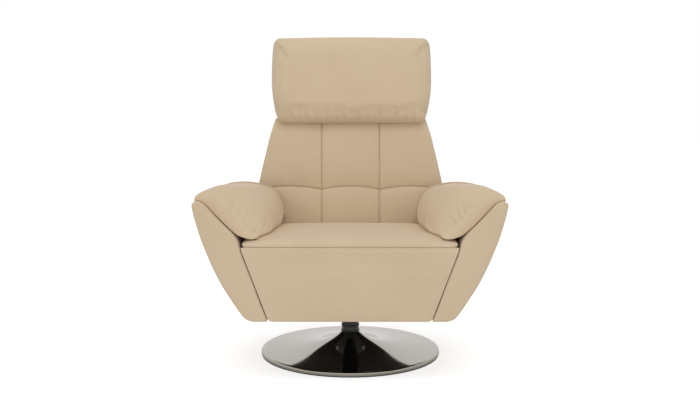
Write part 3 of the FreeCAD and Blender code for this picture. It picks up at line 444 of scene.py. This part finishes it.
def seat_leather(grain):
    """Soft beige hide, dull, with a fine grain."""
    made, tree, shader, where = finish("seat_leather", {
        "Specular IOR Level": 0.35, "Sheen Weight": 0.12, "Sheen Roughness": 0.55,
        "Coat Weight": 0.04, "Coat Roughness": 0.45})
    skin = placed_group(tree, grain, where, Pebble=420.0, Crease=0.35, Cloudiness=0.9)
    tree.links.new(blended(tree, skin.outputs["Tone"], HIDE_DARK, HIDE_LIGHT),
                   shader.inputs["Base Color"])
    tree.links.new(spread(tree, skin.outputs["Wear"], 0.50, 0.66), shader.inputs["Roughness"])
    roughen(tree, shader, skin.outputs["Height"], 0.0004, 0.55)
    return made


def metal(name, marks, light, dark, rough, scale=18.0, amount=0.3, metallic=1.0):
    """Metal with faint marks, between a light and a dark tone."""
    made, tree, shader, where = finish(name, {"Metallic": metallic})
    marked = placed_group(tree, marks, where, Scale=scale, Amount=amount)
    tree.links.new(blended(tree, marked.outputs["Marks"], light, dark), shader.inputs["Base Color"])
    tree.links.new(spread(tree, marked.outputs["Marks"], *rough), shader.inputs["Roughness"])
    roughen(tree, shader, marked.outputs["Height"], 0.00003, 0.15)
    return made


def black_paint(name, marks, rough):
    """Black lacquer or moulded black, slightly uneven."""
    made, tree, shader, where = finish(name, {"Specular IOR Level": 0.5})
    marked = placed_group(tree, marks, where, Scale=30.0, Amount=0.6)
    tree.links.new(blended(tree, marked.outputs["Marks"], BLACK, WORN_BLACK),
                   shader.inputs["Base Color"])
    tree.links.new(spread(tree, marked.outputs["Marks"], *rough), shader.inputs["Roughness"])
    roughen(tree, shader, marked.outputs["Height"], 0.00008, 0.3)
    return made


def cloth(name, threads, dark, light, thread):
    """Woven cloth, with its threads per metre."""
    made, tree, shader, where = finish(name, {"Roughness": 0.85, "Specular IOR Level": 0.2})
    woven = placed_group(tree, threads, where, Thread=thread)
    tree.links.new(blended(tree, woven.outputs["Tone"], dark, light), shader.inputs["Base Color"])
    roughen(tree, shader, woven.outputs["Height"], 0.0004, 0.8)
    return made


def timber(figure):
    """Wood of the frame, with its figure."""
    made, tree, shader, where = finish("frame_wood", {"Roughness": 0.6})
    sawn = placed_group(tree, figure, where, Ring=9.0)
    tree.links.new(blended(tree, sawn.outputs["Tone"], (0.36, 0.22, 0.11), (0.60, 0.42, 0.24)),
                   shader.inputs["Base Color"])
    roughen(tree, shader, sawn.outputs["Height"], 0.0003, 0.5)
    return made


def make_finishes():
    """All finishes, by slot name."""
    marks, threads = metal_marks(), woven_threads()
    return {
        "seat_leather": seat_leather(leather_grain()),
        "chrome": metal("chrome", marks, (0.37, 0.345, 0.305), (0.30, 0.28, 0.245), (0.05, 0.16),
                        9.0, 0.35),
        "column_black": black_paint("column_black", marks, (0.22, 0.40)),
        "pad_rubber": black_paint("pad_rubber", marks, (0.65, 0.80)),
        "ballast_steel": metal("ballast_steel", marks, (0.10, 0.10, 0.10), (0.20, 0.19, 0.18),
                               (0.45, 0.70), 14.0, 0.8, 0.6),
        "bright_steel": metal("bright_steel", marks, (0.62, 0.62, 0.60), (0.42, 0.41, 0.40),
                              (0.22, 0.45), 40.0, 0.7),
        "bush_plastic": black_paint("bush_plastic", marks, (0.40, 0.55)),
        "frame_wood": timber(timber_figure()),
        "strap_fabric": cloth("strap_fabric", threads, (0.10, 0.09, 0.08), (0.22, 0.20, 0.17),
                              420.0),
        "lining_fabric": cloth("lining_fabric", threads, (0.026, 0.019, 0.014),
                               (0.055, 0.041, 0.030), 900.0),
    }


FINISHES = make_finishes()
for subpart in frame["record"]["subparts"]:
    carried = frame["nodes"][subpart["node"]]
    carried.data.materials.clear()
    carried.data.materials.append(FINISHES[subpart["material_slot"]])


# The round base

def trumpet(radius):
    """Height of the disc's smooth flare at a radius."""
    return -1.86 + 5656 / (radius + 45.56)


def make_base():
    """Chrome trumpet with a rolled rim, and the black sleeve of the column with its collar."""
    bore, wall = 29.1, 2.5
    reach = np.concatenate([np.linspace(31, 100, 34), np.linspace(104, 291, 34)])
    smooth = [(r, trumpet(r)) for r in reach]
    rim = [(291.5 + 5.5 * math.sin(a), 9.5 + 5.3 * math.cos(a))
           for a in np.radians(np.linspace(8, 90, 9))]
    foot = [(297, 4.2), (296.6, 3.3), (295.8, 3.0), (288, 3.0), (288, 4.2), (294.4, 4.4),
            (294.4, 9.5), (290, 12.4)]
    under = [(r, z - wall) for r, z in smooth[::-3]]
    inner = [(bore, 71.5), (bore, 73.2), (bore + 0.7, 74)]
    piece("chrome_disc", turned(smooth + rim + foot + under + inner, 240), "base", "chrome",
          ["base_disc"])
    sleeve = [(28.5, 187), (28.5, 98.5), (28.5, 79.5), (28.8, 78.6), (28.8, 76), (28.5, 75.0),
              (28.5, 66), (25.5, 66), (25.5, 187)]
    band = [(28.4, 92.0), (29.6, 92.6), (30.2, 93.6), (30.2, 96.4), (29.6, 97.4), (28.4, 98.0)]
    collar = [(28.4, 74.0), (30.0, 74.2), (30.9, 75.2), (30.9, 78.4), (30.2, 79.4), (28.4, 79.8)]
    piece("column_sleeve", joined(turned(sleeve, 120), turned(band, 120), turned(collar, 120)),
          "seat", "column_black", ["column_cover"])


# Leaning pieces are drawn about the recline axis

LEAN = math.radians(12)
PIVOT_Y, PIVOT_Z = 232, 262


def leaned(points):
    """Turns points drawn upright round the recline axis to where the back stands."""
    x, y, z = np.asarray(points, float).T
    c, s = math.cos(LEAN), math.sin(LEAN)
    return np.column_stack([x, PIVOT_Y + y * c + z * s, PIVOT_Z - y * s + z * c])


# Arms

ARM_FRONT, ARM_REAR = -345, 262
BODY_FLOOR = 187
# across and up, from the floor of the arm to its tip
INNER_LINE = [(248, 187), (268, 240), (289, 299), (310, 355), (329, 405), (339.5, 442), (381, 483),
              (414, 518), (443, 553)]
OUTER_LINE = [(305, 187), (319, 197), (335, 218), (353, 246), (372, 276), (389, 304), (413, 356),
              (433, 405), (448, 442), (459, 480), (468, 515), (476, 555)]


def arm_face(z):
    """Half the width between the arms at a height, below the seat."""
    return 248 + 0.37 * (z - BODY_FLOOR)


def arm_drop(y, z):
    """The arms' tops run down a little towards the back."""
    behind = np.clip((y - ARM_FRONT) / (ARM_REAR - ARM_FRONT), 0, 1)
    return 36 * behind * np.clip((z - 400) / 155, 0, 1)


def along(line, share):
    """Points on a line of points, by share of its length."""
    line = np.asarray(line, float)
    run = np.concatenate([[0], np.cumsum(np.linalg.norm(np.diff(line, axis=0), axis=1))])
    return np.column_stack([np.interp(np.asarray(share) * run[-1], run, line[:, k])
                            for k in range(line.shape[1])])


def softened(line, rounds=2):
    """Takes the sharpness out of a line of points."""
    line = np.asarray(line, float)
    for _ in range(rounds):
        cut = [line[0]]
        for a, b in zip(line[:-1], line[1:]):
            cut += [a * 0.75 + b * 0.25, a * 0.25 + b * 0.75]
        line = np.array(cut + [line[-1]])
    return line


def make_arm(side_name, side):
    """An upholstered arm, thin and leaning out, with a rounded tip."""
    inner, outer = softened(INNER_LINE), softened(OUTER_LINE)
    half_thick, half_long, half_tall = 50.0, (ARM_REAR - ARM_FRONT) / 2, 205.0
    tip_round, foot_round = 16, 15
    points, faces = padded_block((half_thick, half_long, half_tall), 7, gap=9, steps=5)
    a, y, c = points.T
    for way in (-1, 1):
        a, c = rounded_corner(a, c, way * half_thick, half_tall, tip_round, (way, 1))
    a, c = rounded_corner(a, c, half_thick, -half_tall, foot_round, (1, -1))
    # the block is bent to lie between the arm's inner and outer lines
    share = (c + half_tall) / (2 * half_tall)
    near, far = along(inner, share), along(outer, share)
    middle, reach = (near + far) / 2, (far - near) / 2
    local = np.linalg.norm(reach, axis=1)
    moved = stretched(a, half_thick, local, np.minimum(17, local * 0.9))
    spot = middle + reach / local[:, None] * moved[:, None]
    x, z = spot.T
    # the padding swells a little between its edges, on the outside and at the front
    level = np.clip((z - BODY_FLOOR) / 360, 0, 1)
    swell = np.sin(math.pi * level)
    x = x + swell * (a > 0) * (a / half_thick)
    front = np.clip(-(y + half_long - 12) / 12, 0, 1)
    inside = np.clip(1 - np.abs(a / half_thick) ** 4, 0, 1) * swell ** 0.5
    y = y + (ARM_FRONT + ARM_REAR) / 2 - 3.0 * front * inside
    z = z - arm_drop(y, z)
    points = np.column_stack([x, y, z])
    points[:, 0] += 0.8 * wander(points, 150, 11) * (a > 0)
    points[:, 0] *= side
    if side < 0:
        faces = [face[::-1] for face in faces]
    piece(f"arm_{side_name}", (points, faces), "seat", "seat_leather", [f"arm_body_{side_name}"])


# Seat and footrest

def seat_fall(y):
    """How far the seat's middle has run down, towards the back."""
    return 43 * np.clip((y + 80) / 292, 0, 1)


def seat_top(x, y):
    """Height of the crowned seat."""
    behind = np.clip(y + 343, 0, None)
    nose = np.interp(behind, [0, 2, 6, 12, 22, 40, 70, 105, 140],
                     [0.0, 0.16, 0.32, 0.46, 0.61, 0.76, 0.90, 0.98, 1.0])
    sides = np.sqrt(np.clip(1 - np.abs(x / 328) ** 3.2, 0, 1))
    fall = seat_fall(y)
    return 418 - 0.65 * fall + (26.5 * nose - 0.35 * fall) * sides


def make_seat():
    """The seat pad, and the core under it."""
    # the pad, with its crown
    half_x, half_y, half_z, edge = 325.5, 268, 6, 5.9
    points, faces = padded_block((half_x, half_y, half_z), edge, gap=7, steps=6)
    x, y, z = points.T
    for side in (-1, 1):
        x, y = rounded_corner(x, y, side * half_x, -half_y, 20, (side, -1))
    # its lower edge is sewn flat, so that only a thin line shows over the footrest
    under = np.clip(-z / edge, 0, 1)
    y = y - 4.2 * (1 - np.sqrt(1 - under ** 2)) * ease(-y, 250, 262) - 75
    top = ease(z, -1, 5)
    seam = 420.3 - 0.65 * seat_fall(y)
    height = seam + z * 0.75 + top * np.maximum(seat_top(x, y) - seam, 0)
    points = np.column_stack([x, y, height])
    points[:, 2] += 1.1 * top * wander(points, 170, 5)
    piece("seat_pad", (points, faces), "seat", "seat_leather", ["seat_cushion"])

    # the core under it, between the arms
    half_x, half_y, half_z = 300, 206, 70.5
    points, faces = padded_block((half_x, half_y, half_z), 8, gap=16)
    x, depth, z = points.T
    level = z + 342
    rear = 146 + np.clip((level - 297) / 120, 0, 1) * 34
    y = np.where(depth > 0, depth * (rear + 60) / half_y, depth) - 60
    level = level - 0.65 * seat_fall(y) * ease(level, 300, 412)
    x = stretched(x, half_x, np.minimum(arm_face(level), 325) - 4, 20)
    piece("seat_core", (np.column_stack([x, y, level]), faces), "seat", "seat_leather")


def make_footrest():
    """The apron cushion in front of the seat, which swings out as a footrest."""
    half_x, half_y, half_z = 300, 23, 113.5
    points, faces = padded_block((half_x, half_y, half_z), 2.6, gap=9, steps=5)
    x, y, z = points.T
    for side in (-1, 1):
        x, z = rounded_corner(x, z, side * half_x, -half_z, 10, (side, -1))
        x, z = rounded_corner(x, z, side * half_x, half_z, 7, (side, 1))
    level = z + 301.5
    # it narrows towards its rear, most at the top, to clear the arms when it swings
    deep = (y + half_y) / (2 * half_y)
    half = arm_face(level) - 1.8 - (11 + 6 * ease(level, 385, 415)) * deep
    x = stretched(x, half_x, half, 14)
    front = np.clip(-y / half_y, 0, 1)
    bulge = (np.clip(1 - np.abs(x / half) ** 5, 0, 1)
             * np.clip(1 - np.abs(z / half_z) ** 5, 0, 1))
    # the top stays flat, because it swings under the front of the seat
    low = ease(-z, -78, -20)
    y = y - 322 - 5 * front * bulge * low + 2.2 * front * ease(z, 98, half_z)
    points = np.column_stack([x, y, level])
    points[:, 1] -= 1.0 * front * low * wander(points, 150, 21)
    piece("footrest_cushion", (points, faces), "footrest", "seat_leather", ["footrest_pad"])


# Back

BACK_LOW, BACK_HIP, BACK_WIDEST, BACK_TALL = -45, 36, 275, 510
BACK_MIDDLE, BACK_HALF_TALL = (BACK_TALL + BACK_LOW) / 2, (BACK_TALL - BACK_LOW) / 2
BACK_SEWN = -17


def back_half(z):
    """Half the width of the back at a height above the recline axis."""
    below = 245 + 11 * np.clip((z - BACK_LOW) / (BACK_HIP - BACK_LOW), 0, 1)
    climb = np.clip((z - BACK_HIP) / (BACK_WIDEST - BACK_HIP), 0, 1)
    rising = 256 + 66 * np.sin(climb * math.pi / 2) ** 0.9
    share = np.clip((z - BACK_WIDEST) / (BACK_TALL - BACK_WIDEST), 0, 1)
    falling = 322 - 58 * share + 2 * np.sin(share * math.pi)
    return np.where(z <= BACK_HIP, below, np.where(z <= BACK_WIDEST, rising, falling))


def make_back_tufts():
    """The front cushion: two rows of three tufts, over a plain foot."""
    seam_x, foot, cross = 101.0, 96.0, 252.0
    half_x, half_y = 300, 30
    close = np.array([-9, -6, -4, -2.5, -1.2, 0, 1.2, 2.5, 4, 6, 9])
    points, faces = padded_block(
        (half_x, half_y, BACK_HALF_TALL), 14, gap=7, steps=6,
        lines=(np.concatenate([close - seam_x, close + seam_x]), (),
               np.concatenate([close + cross - BACK_MIDDLE, close + foot - BACK_MIDDLE])))
    bx, by, bz = points.T
    level = bz + BACK_MIDDLE
    half = back_half(level)
    # seams stay upright while the sides follow the outline
    beyond = (np.abs(bx) - seam_x) * (half - seam_x) / (half_x - seam_x)
    x = np.where(np.abs(bx) <= seam_x, bx, np.sign(bx) * (seam_x + beyond))
    outer = np.abs(x) > seam_x
    column = np.where(outer, (np.abs(x) - seam_x) / np.maximum(half - seam_x, 1),
                      (x + seam_x) / (2 * seam_x))
    across = np.where(outer, np.sqrt(np.clip(1 - np.clip(1 - column, 0, 1) ** 5, 0, 1)),
                      plump(column, 5))
    lower = (level > foot) & (level <= cross)
    upper = level > cross
    row = np.where(lower, (level - foot) / (cross - foot),
                   np.where(upper, (level - cross) / (BACK_TALL - cross), 0))
    up_down = np.where(lower, plump(row, 2.6), np.where(upper, plump(row * 0.5, 2.2), 0))
    depth = 8.5 * across * (level > foot) + 16 * up_down
    sewn = 2.4 * (dip(np.abs(x) - seam_x, 2.0) * (level > foot) + dip(level - cross, 2.0))
    # the face goes back a little under the headrest
    tuck = 16 * ease(level, 440, 505)
    front = ease(-by, 4, 22)
    y = np.where(by < 0, BACK_SEWN - 41 * (-by / half_y), BACK_SEWN)
    y = y - front * (depth - sewn - tuck)
    # the cross seam arches over each column
    centre = np.where(outer, np.sign(x) * (seam_x + half) / 2, 0)
    wide = np.where(outer, (half - seam_x) / 2, seam_x)
    arch = 11 * np.clip(1 - ((x - centre) / wide) ** 2, 0, 1)
    level = level + arch * np.exp(-((level - cross) / 55) ** 2)
    points = np.column_stack([x, y, level])
    points[:, 1] -= 0.9 * front * wander(points, 120, 31)
    piece("back_tufts", (leaned(points), faces), "back", "seat_leather", ["back_cushion"])


def make_back_shell():
    """The cover of the back's rear, rounded under at its foot."""
    half_x, half_y, rear_face = 300, 31, 45
    points, faces = padded_block((half_x, half_y, BACK_HALF_TALL), 12, gap=12, steps=5)
    bx, by, bz = points.T
    level = bz + BACK_MIDDLE
    half = back_half(level)
    x = stretched(bx, half_x, half, 20)
    rounded = np.sqrt(np.clip(rear_face ** 2 - level ** 2, 64, None))
    rear = np.where(level < 0, rounded, rear_face)
    y = BACK_SEWN + (by + half_y) / (2 * half_y) * (rear - BACK_SEWN)
    swell = 5 * (1 - (x / half) ** 2) * ease(level, 20, 120) * ease(by, 10, 30)
    points = np.column_stack([x, y + swell, level])
    piece("back_shell_cover", (leaned(points), faces), "back", "seat_leather", ["back_shell"])


# where the headrest's gathers rise, across
HEADREST_GATHERS = (-228, -196, -172, -148, -118, -84, -52, -20, 24, 61, 88, 111, 131, 150, 168,
                    190, 217)


def make_headrest():
    """The headrest cushion, full below its middle and gathered at its foot."""
    half_x, half_y, half_z = 276.0, 58.0, 150.0
    foot, top = 484, 784
    points, faces = padded_block((half_x, half_y, half_z), 25, gap=7, steps=8)
    bx, by, bz = points.T
    level = bz + 634
    up = (bz + half_z) / (2 * half_z)
    half = 280 - 26 * (1 - ease(level, 455, 610)) - 3 * ease(level, 690, top)
    x = stretched(bx, half_x, half, 32) + 3
    y = by - 54
    # chin: the rear of the pad ends higher than its front roll
    lift = 30 * ease(y, -72, -46)
    level = level + lift * np.clip(1 - (level - foot) / 240, 0, 1)
    level = level + (5 + 5 * (1 - (bx / half_x) ** 2)) * ease(level, 640, top)
    # soft crown, fuller low down
    front = np.clip(-by / half_y, 0, 1)
    body = (np.clip(1 - np.abs(bx / half_x) ** 4, 0, 1)
            * np.clip(1 - np.abs(bz / half_z) ** 4, 0, 1))
    y = y - front * body * (5 + 3 * (1 - up)) + front * 6 * ease(-level, -560, -foot)
    # gathers that rise from the lower edge
    rng = np.random.default_rng(4)
    for at in HEADREST_GATHERS:
        tall, tilt = rng.uniform(34, 74), rng.uniform(-0.5, 0.5)
        line = x - at - tilt * (level - 490)
        fade = ease(-level, -(490 + tall), -495) * front
        y = y + fade * (5.5 * dip(line, 4.5) - 2.5 * dip(line - 9, 6.0))
    points = np.column_stack([x, y, level])
    points[:, 1] -= 0.9 * front * wander(points, 150, 8)
    # the cover swells over its filling; it is held behind and along its lower seam
    held = np.maximum(ease(y, -62, -50), ease(-level, -494, -490))
    loose = ease(-level, -575, -500) * ease(-y, 78, 90)
    points, faces = filled_out((points, faces), held, loose, pressure=2.5, spare=0.12, cap=7.0)
    piece("headrest_cushion", (leaned(points), faces), "headrest", "seat_leather", ["headrest_pad"])


# Arm pillows

# across and up at places round a section: outer tip, over the top, inside, underneath
PILLOW_EDGE = [(468, 555), (453, 556), (431, 541), (405, 513), (375, 480), (344, 453), (322, 443),
               (300, 438), (279, 442), (284, 438), (303, 436), (343, 451), (384, 489), (440, 540)]
PILLOW_SECTIONS = [
    (-296, [(468, 559), (447, 577), (412, 583), (378, 560), (346, 523), (316, 487), (292, 460),
            (276, 447), (277, 440), (284, 437), (303, 437), (343, 452), (384, 490), (440, 541)]),
    (-250, [(467, 557), (446, 575), (410, 588), (370, 585), (332, 558), (296, 521), (268, 484),
            (252, 459), (249, 446), (262, 442), (290, 441), (338, 447), (384, 488), (440, 540)]),
    (-180, [(466, 550), (443, 571), (406, 584), (362, 586), (317, 571), (276, 542), (249, 506),
            (236, 471), (233, 450), (246, 446), (282, 444), (334, 443), (384, 486), (439, 538)]),
    (-100, [(464, 546), (440, 564), (402, 575), (358, 578), (311, 571), (270, 551), (240, 520),
            (225, 480), (221, 453), (234, 448), (274, 446), (332, 440), (384, 483), (438, 534)]),
    (0, [(461, 541), (438, 555), (400, 563), (360, 565), (318, 563), (281, 555), (246, 537),
         (228, 499), (222, 456), (233, 446), (270, 443), (331, 436), (384, 479), (437, 529)]),
    (100, [(459, 534), (436, 546), (398, 554), (360, 556), (322, 553), (287, 544), (252, 527),
           (233, 487), (226, 449), (236, 440), (270, 436), (331, 432), (384, 474), (436, 522)]),
    (182, [(457, 528), (433, 541), (396, 549), (358, 550), (325, 546), (292, 538), (256, 521),
           (236, 480), (229, 442), (239, 434), (272, 430), (332, 428), (384, 469), (434, 516)])]


def closed_curve(points, steps):
    """A smooth closed line through points."""
    points = np.asarray(points, float)
    before, after, beyond = (np.roll(points, k, axis=0) for k in (1, -1, -2))
    t = np.linspace(0, 1, steps, endpoint=False)[None, :, None]
    p0, p1, p2, p3 = (p[:, None, :] for p in (before, points, after, beyond))
    line = 0.5 * (2 * p1 + (p2 - p0) * t + (2 * p0 - 5 * p1 + 4 * p2 - p3) * t ** 2
                  + (3 * p1 - p0 - 3 * p2 + p3) * t ** 3)
    return line.reshape(-1, 2)


def arm_slope(x, y):
    """Height of the slope inside an arm, where the pillow lies."""
    line = np.array(INNER_LINE[5:])
    slope = np.interp(x, line[:, 0], line[:, 1])
    return slope - arm_drop(y, slope)


def pillow_section(y):
    """Control points of the pillow's section at a place along it."""
    places = [p for p, _ in PILLOW_SECTIONS]
    shapes = np.array([s for _, s in PILLOW_SECTIONS], float)
    k = int(np.clip(np.searchsorted(places, y) - 1, 0, len(places) - 2))
    t = np.clip((y - places[k]) / (places[k + 1] - places[k]), 0, 1)
    slopes = np.gradient(shapes, places, axis=0)
    span = places[k + 1] - places[k]
    return ((2 * t ** 3 - 3 * t ** 2 + 1) * shapes[k] + (t ** 3 - 2 * t ** 2 + t) * span * slopes[k]
            + (3 * t ** 2 - 2 * t ** 3) * shapes[k + 1] + (t ** 3 - t ** 2) * span * slopes[k + 1])


PILLOW_FRONT, PILLOW_SEAM, PILLOW_REAR = -318, -298, 182


def pillow_rings(steps):
    """Rings of points from the front edge to the middle of the rear end, with each ring's place
    along the pillow and how strongly it is gathered."""
    rings, along_y, folds = [], [], []
    edge = np.array(PILLOW_EDGE, float)
    first = np.array(PILLOW_SECTIONS[0][1], float)
    # the front end rounds off over a sixth of a turn
    for angle in np.radians(np.linspace(2, 60, 12)):
        rings.append(closed_curve(edge + (first - edge) * math.sin(angle) / 0.866, steps))
        along_y.append(PILLOW_FRONT + 44 * (1 - math.cos(angle)))
        folds.append(math.sin(angle) / 0.866)
    for y in np.concatenate([np.arange(-293, -230, 3.0), np.arange(-228, 180, 7.5),
                             [PILLOW_REAR]]):
        rings.append(closed_curve(pillow_section(y), steps))
        along_y.append(y)
        folds.append(float(np.clip(1 - (y + 293) / 60, 0, 1)))
    last = rings[-1]
    centre = last.mean(axis=0)
    for angle in np.radians(np.linspace(15, 90, 6)):
        shrink = 1 - 0.13 * (1 - math.cos(angle))
        rings.append(centre + (last - centre) * shrink)
        along_y.append(PILLOW_REAR + 11 * math.sin(angle))
        folds.append(0)
    # and the rear end closes to its middle
    for share in (0.7, 0.5, 0.3, 0.12):
        rings.append(centre + (last - centre) * 0.87 * share)
        along_y.append(PILLOW_REAR + 11 + 2 * (1 - share))
        folds.append(0)
    return rings, along_y, folds


def ring_faces(count, around):
    """Faces between rings, with both ends closed."""
    faces = []
    for i in range(count - 1):
        here, ahead = i * around, (i + 1) * around
        for s in range(around):
            t = (s + 1) % around
            faces.append([here + s, ahead + s, ahead + t, here + t])
    faces.append(list(range(around)))
    faces.append([(count - 1) * around + s for s in range(around)][::-1])
    return faces


def make_pillow(side_name, side, gathers, seed):
    """A pillow over an arm, gathered at its front, with piping."""
    steps = 11
    rings, along_y, folds = pillow_rings(steps)
    count, around = len(rings), len(rings[0])
    points = np.concatenate([np.column_stack([r[:, 0], np.full(around, y), r[:, 1]])
                             for r, y in zip(rings, along_y)])
    # gathers across the front end, tightest at its seam
    rng = np.random.default_rng(seed)
    place_round = np.tile(np.arange(around) / steps, count)
    fold = np.repeat(folds, around)
    push = np.zeros(len(points))
    for at in gathers:
        width, deep = rng.uniform(0.06, 0.10), rng.uniform(2.8, 5.0)
        lean_over = rng.uniform(-0.5, 0.5)
        line = place_round - at - lean_over * (1 - fold)
        push -= deep * dip(line, width) - deep * 0.45 * dip(line - 2.1 * width, width * 1.3)
    push = push * fold ** 2 * ease(place_round, 0.3, 1) * ease(-place_round, -7.2, -6.2)
    mesh_centre = np.repeat([r.mean(axis=0) for r in rings], around, axis=0)
    away = points[:, [0, 2]] - mesh_centre
    away /= np.maximum(np.linalg.norm(away, axis=1), 1)[:, None]
    points[:, [0, 2]] += away * push[:, None]
    points[:, [0, 2]] += away * (1.2 * wander(points, 110, seed))[:, None]
    faces = ring_faces(count, around)
    # the cover swells over its filling; it is held underneath, at both ends and at its seam,
    # with cloth to spare on both sides of that seam
    y = points[:, 1]
    below = np.maximum(ease(place_round, 8.3, 9.0), ease(-place_round, -0.7, -0.3))
    held = np.maximum(below, np.maximum(ease(y, 165, 180), ease(-y, 311, 315)))
    held = np.maximum(held, dip(y - PILLOW_SEAM, 2.0))
    loose = (dip(y + 276, 22) + 0.6 * dip(y + 306, 6)) * (1 - below)
    points, faces = filled_out((points, faces), held, loose, pressure=3.0, spare=0.16, cap=7.0)
    # it lies on the arm's slope and on the seat, and bridges the gap between them
    x, y, z = points.T
    on_arm, on_seat, short_of_tip = x > 337, x < 325, x < 436
    rest = np.where(on_arm, arm_slope(x, y), np.where(on_seat, seat_top(x, y), 400)) + 0.8
    under = (place_round > 8.4) & (y > -300)
    settled = np.where(under & (z < rest + 9) & short_of_tip, rest, np.maximum(z, rest))
    points[:, 2] = np.where(short_of_tip & (on_seat | on_arm), settled, z)
    # piping round the rear end and along the front edge
    ring_at = int(np.argmin(np.abs(np.array(along_y) - PILLOW_REAR)))
    ring_points = points[ring_at * around:(ring_at + 1) * around]
    out = ring_points - ring_points.mean(axis=0)
    out /= np.linalg.norm(out, axis=1)[:, None]
    parts = [(points, faces), beads((ring_points + out * 2.0)[::2], 2.8, closed=True)]
    lip = points[:around][int(0.1 * steps):int(7.9 * steps)]
    parts.append(beads(lip[::2] + (0, 0.4, -0.6), 1.7))
    points, faces = joined(*parts)
    points[:, 0] *= side
    if side < 0:
        faces = [face[::-1] for face in faces]
    piece(f"pillow_{side_name}", (points, faces), "seat", "seat_leather",
          [f"arm_pillow_{side_name}"])


# Rear of the seat

def make_rear_cover():
    """Leather over the rear rail, between the arms."""
    points, faces = padded_block((250, 13, 13.5), 3, gap=16, steps=3)
    x, y, z = points.T
    level = z + 201.5
    x = stretched(x, 250, arm_face(level) - 1.5, 12)
    piece("rear_valance", (np.column_stack([x, y + 233, level]), faces), "seat", "seat_leather")


make_base()
for side_name, side in (("left", -1), ("right", 1)):
    make_arm(side_name, side)
make_seat()
make_footrest()
make_back_tufts()
make_back_shell()
make_headrest()
# the pillows' gathers, by place round the section
make_pillow("left", -1, (1.2, 2.0, 2.6, 3.2, 3.8, 4.4, 5.0, 5.6, 6.2), 3)
make_pillow("right", 1, (0.9, 1.5, 2.1, 2.6, 3.1, 3.6, 4.1, 4.6, 5.1, 5.6, 6.2), 7)
make_rear_cover()


# Studio

def make_studio():
    """White floor and surroundings, soft lamps and the photograph's camera."""
    scene = bpy.context.scene
    scene.view_settings.view_transform = "Standard"

    mesh = bpy.data.meshes.new("studio_floor")
    mesh.from_pydata([(-9, -9, -0.0004), (9, -9, -0.0004), (9, 9, -0.0004), (-9, 9, -0.0004)], [],
                     [(0, 1, 2, 3)])
    floor = bpy.data.objects.new("studio_floor", mesh)
    scene.collection.objects.link(floor)
    paper = bpy.data.materials.new("floor_paper")
    paper.use_nodes = True
    tree = paper.node_tree
    shader = tree.nodes["Principled BSDF"]
    shader.inputs["Base Color"].default_value = (0.84, 0.84, 0.84, 1)
    shader.inputs["Roughness"].default_value = 0.9
    shader.inputs["Specular IOR Level"].default_value = 0.1
    path = tree.nodes.new("ShaderNodeLightPath")
    seen = sums(tree, "MAXIMUM", path.outputs["Is Camera Ray"], path.outputs["Is Transmission Ray"])
    lift = sums(tree, "ADD", sums(tree, "MULTIPLY", seen, 0.55),
                sums(tree, "MULTIPLY", path.outputs["Is Glossy Ray"], 0.15))
    shader.inputs["Emission Color"].default_value = (1, 1, 1, 1)
    tree.links.new(lift, shader.inputs["Emission Strength"])
    mesh.materials.append(paper)

    world = bpy.data.worlds.new("studio")
    scene.world = world
    world.use_nodes = True
    tree = world.node_tree
    background = tree.nodes["Background"]
    path = tree.nodes.new("ShaderNodeLightPath")
    seen = sums(tree, "MAXIMUM", path.outputs["Is Camera Ray"], path.outputs["Is Glossy Ray"])
    seen = sums(tree, "MAXIMUM", seen, path.outputs["Is Transmission Ray"])
    strength = sums(tree, "ADD", sums(tree, "MULTIPLY", seen, 0.33), 0.67)
    background.inputs["Color"].default_value = (1, 1, 1, 1)
    tree.links.new(strength, background.inputs["Strength"])

    for name, spot, aim, size, power in (
            ("front_lamp", (-0.9, -3.4, 0.9), (0, 0, 0.4), 2.2, 18),
            ("side_lamp", (2.2, -2.4, 1.0), (0, 0, 0.4), 2.0, 6),
            ("top_lamp", (0.0, -0.6, 3.0), (0, 0, 0.4), 2.4, 14)):
        data = bpy.data.lights.new(name, "AREA")
        data.shape = "DISK"
        data.size = size
        data.energy = power
        lamp = bpy.data.objects.new(name, data)
        lamp.location = spot
        way = np.array(aim) - np.array(spot)
        lamp.rotation_euler = (math.atan2(math.hypot(way[0], way[1]), -way[2]), 0,
                               math.atan2(-way[0], way[1]))
        lamp.visible_glossy = False
        scene.collection.objects.link(lamp)

    data = bpy.data.cameras.new("photo_camera")
    lens, distance, height, looks_down, turned_by = 55.06, 3.5, 0.9772, 7.54, 0.013
    data.lens = lens
    data.sensor_width = 36
    camera = bpy.data.objects.new("photo_camera", data)
    camera.location = (0.012, -distance, height)
    camera.rotation_euler = (math.radians(90 - looks_down), 0, math.atan2(turned_by, distance))
    scene.collection.objects.link(camera)
    scene.camera = camera


make_studio()
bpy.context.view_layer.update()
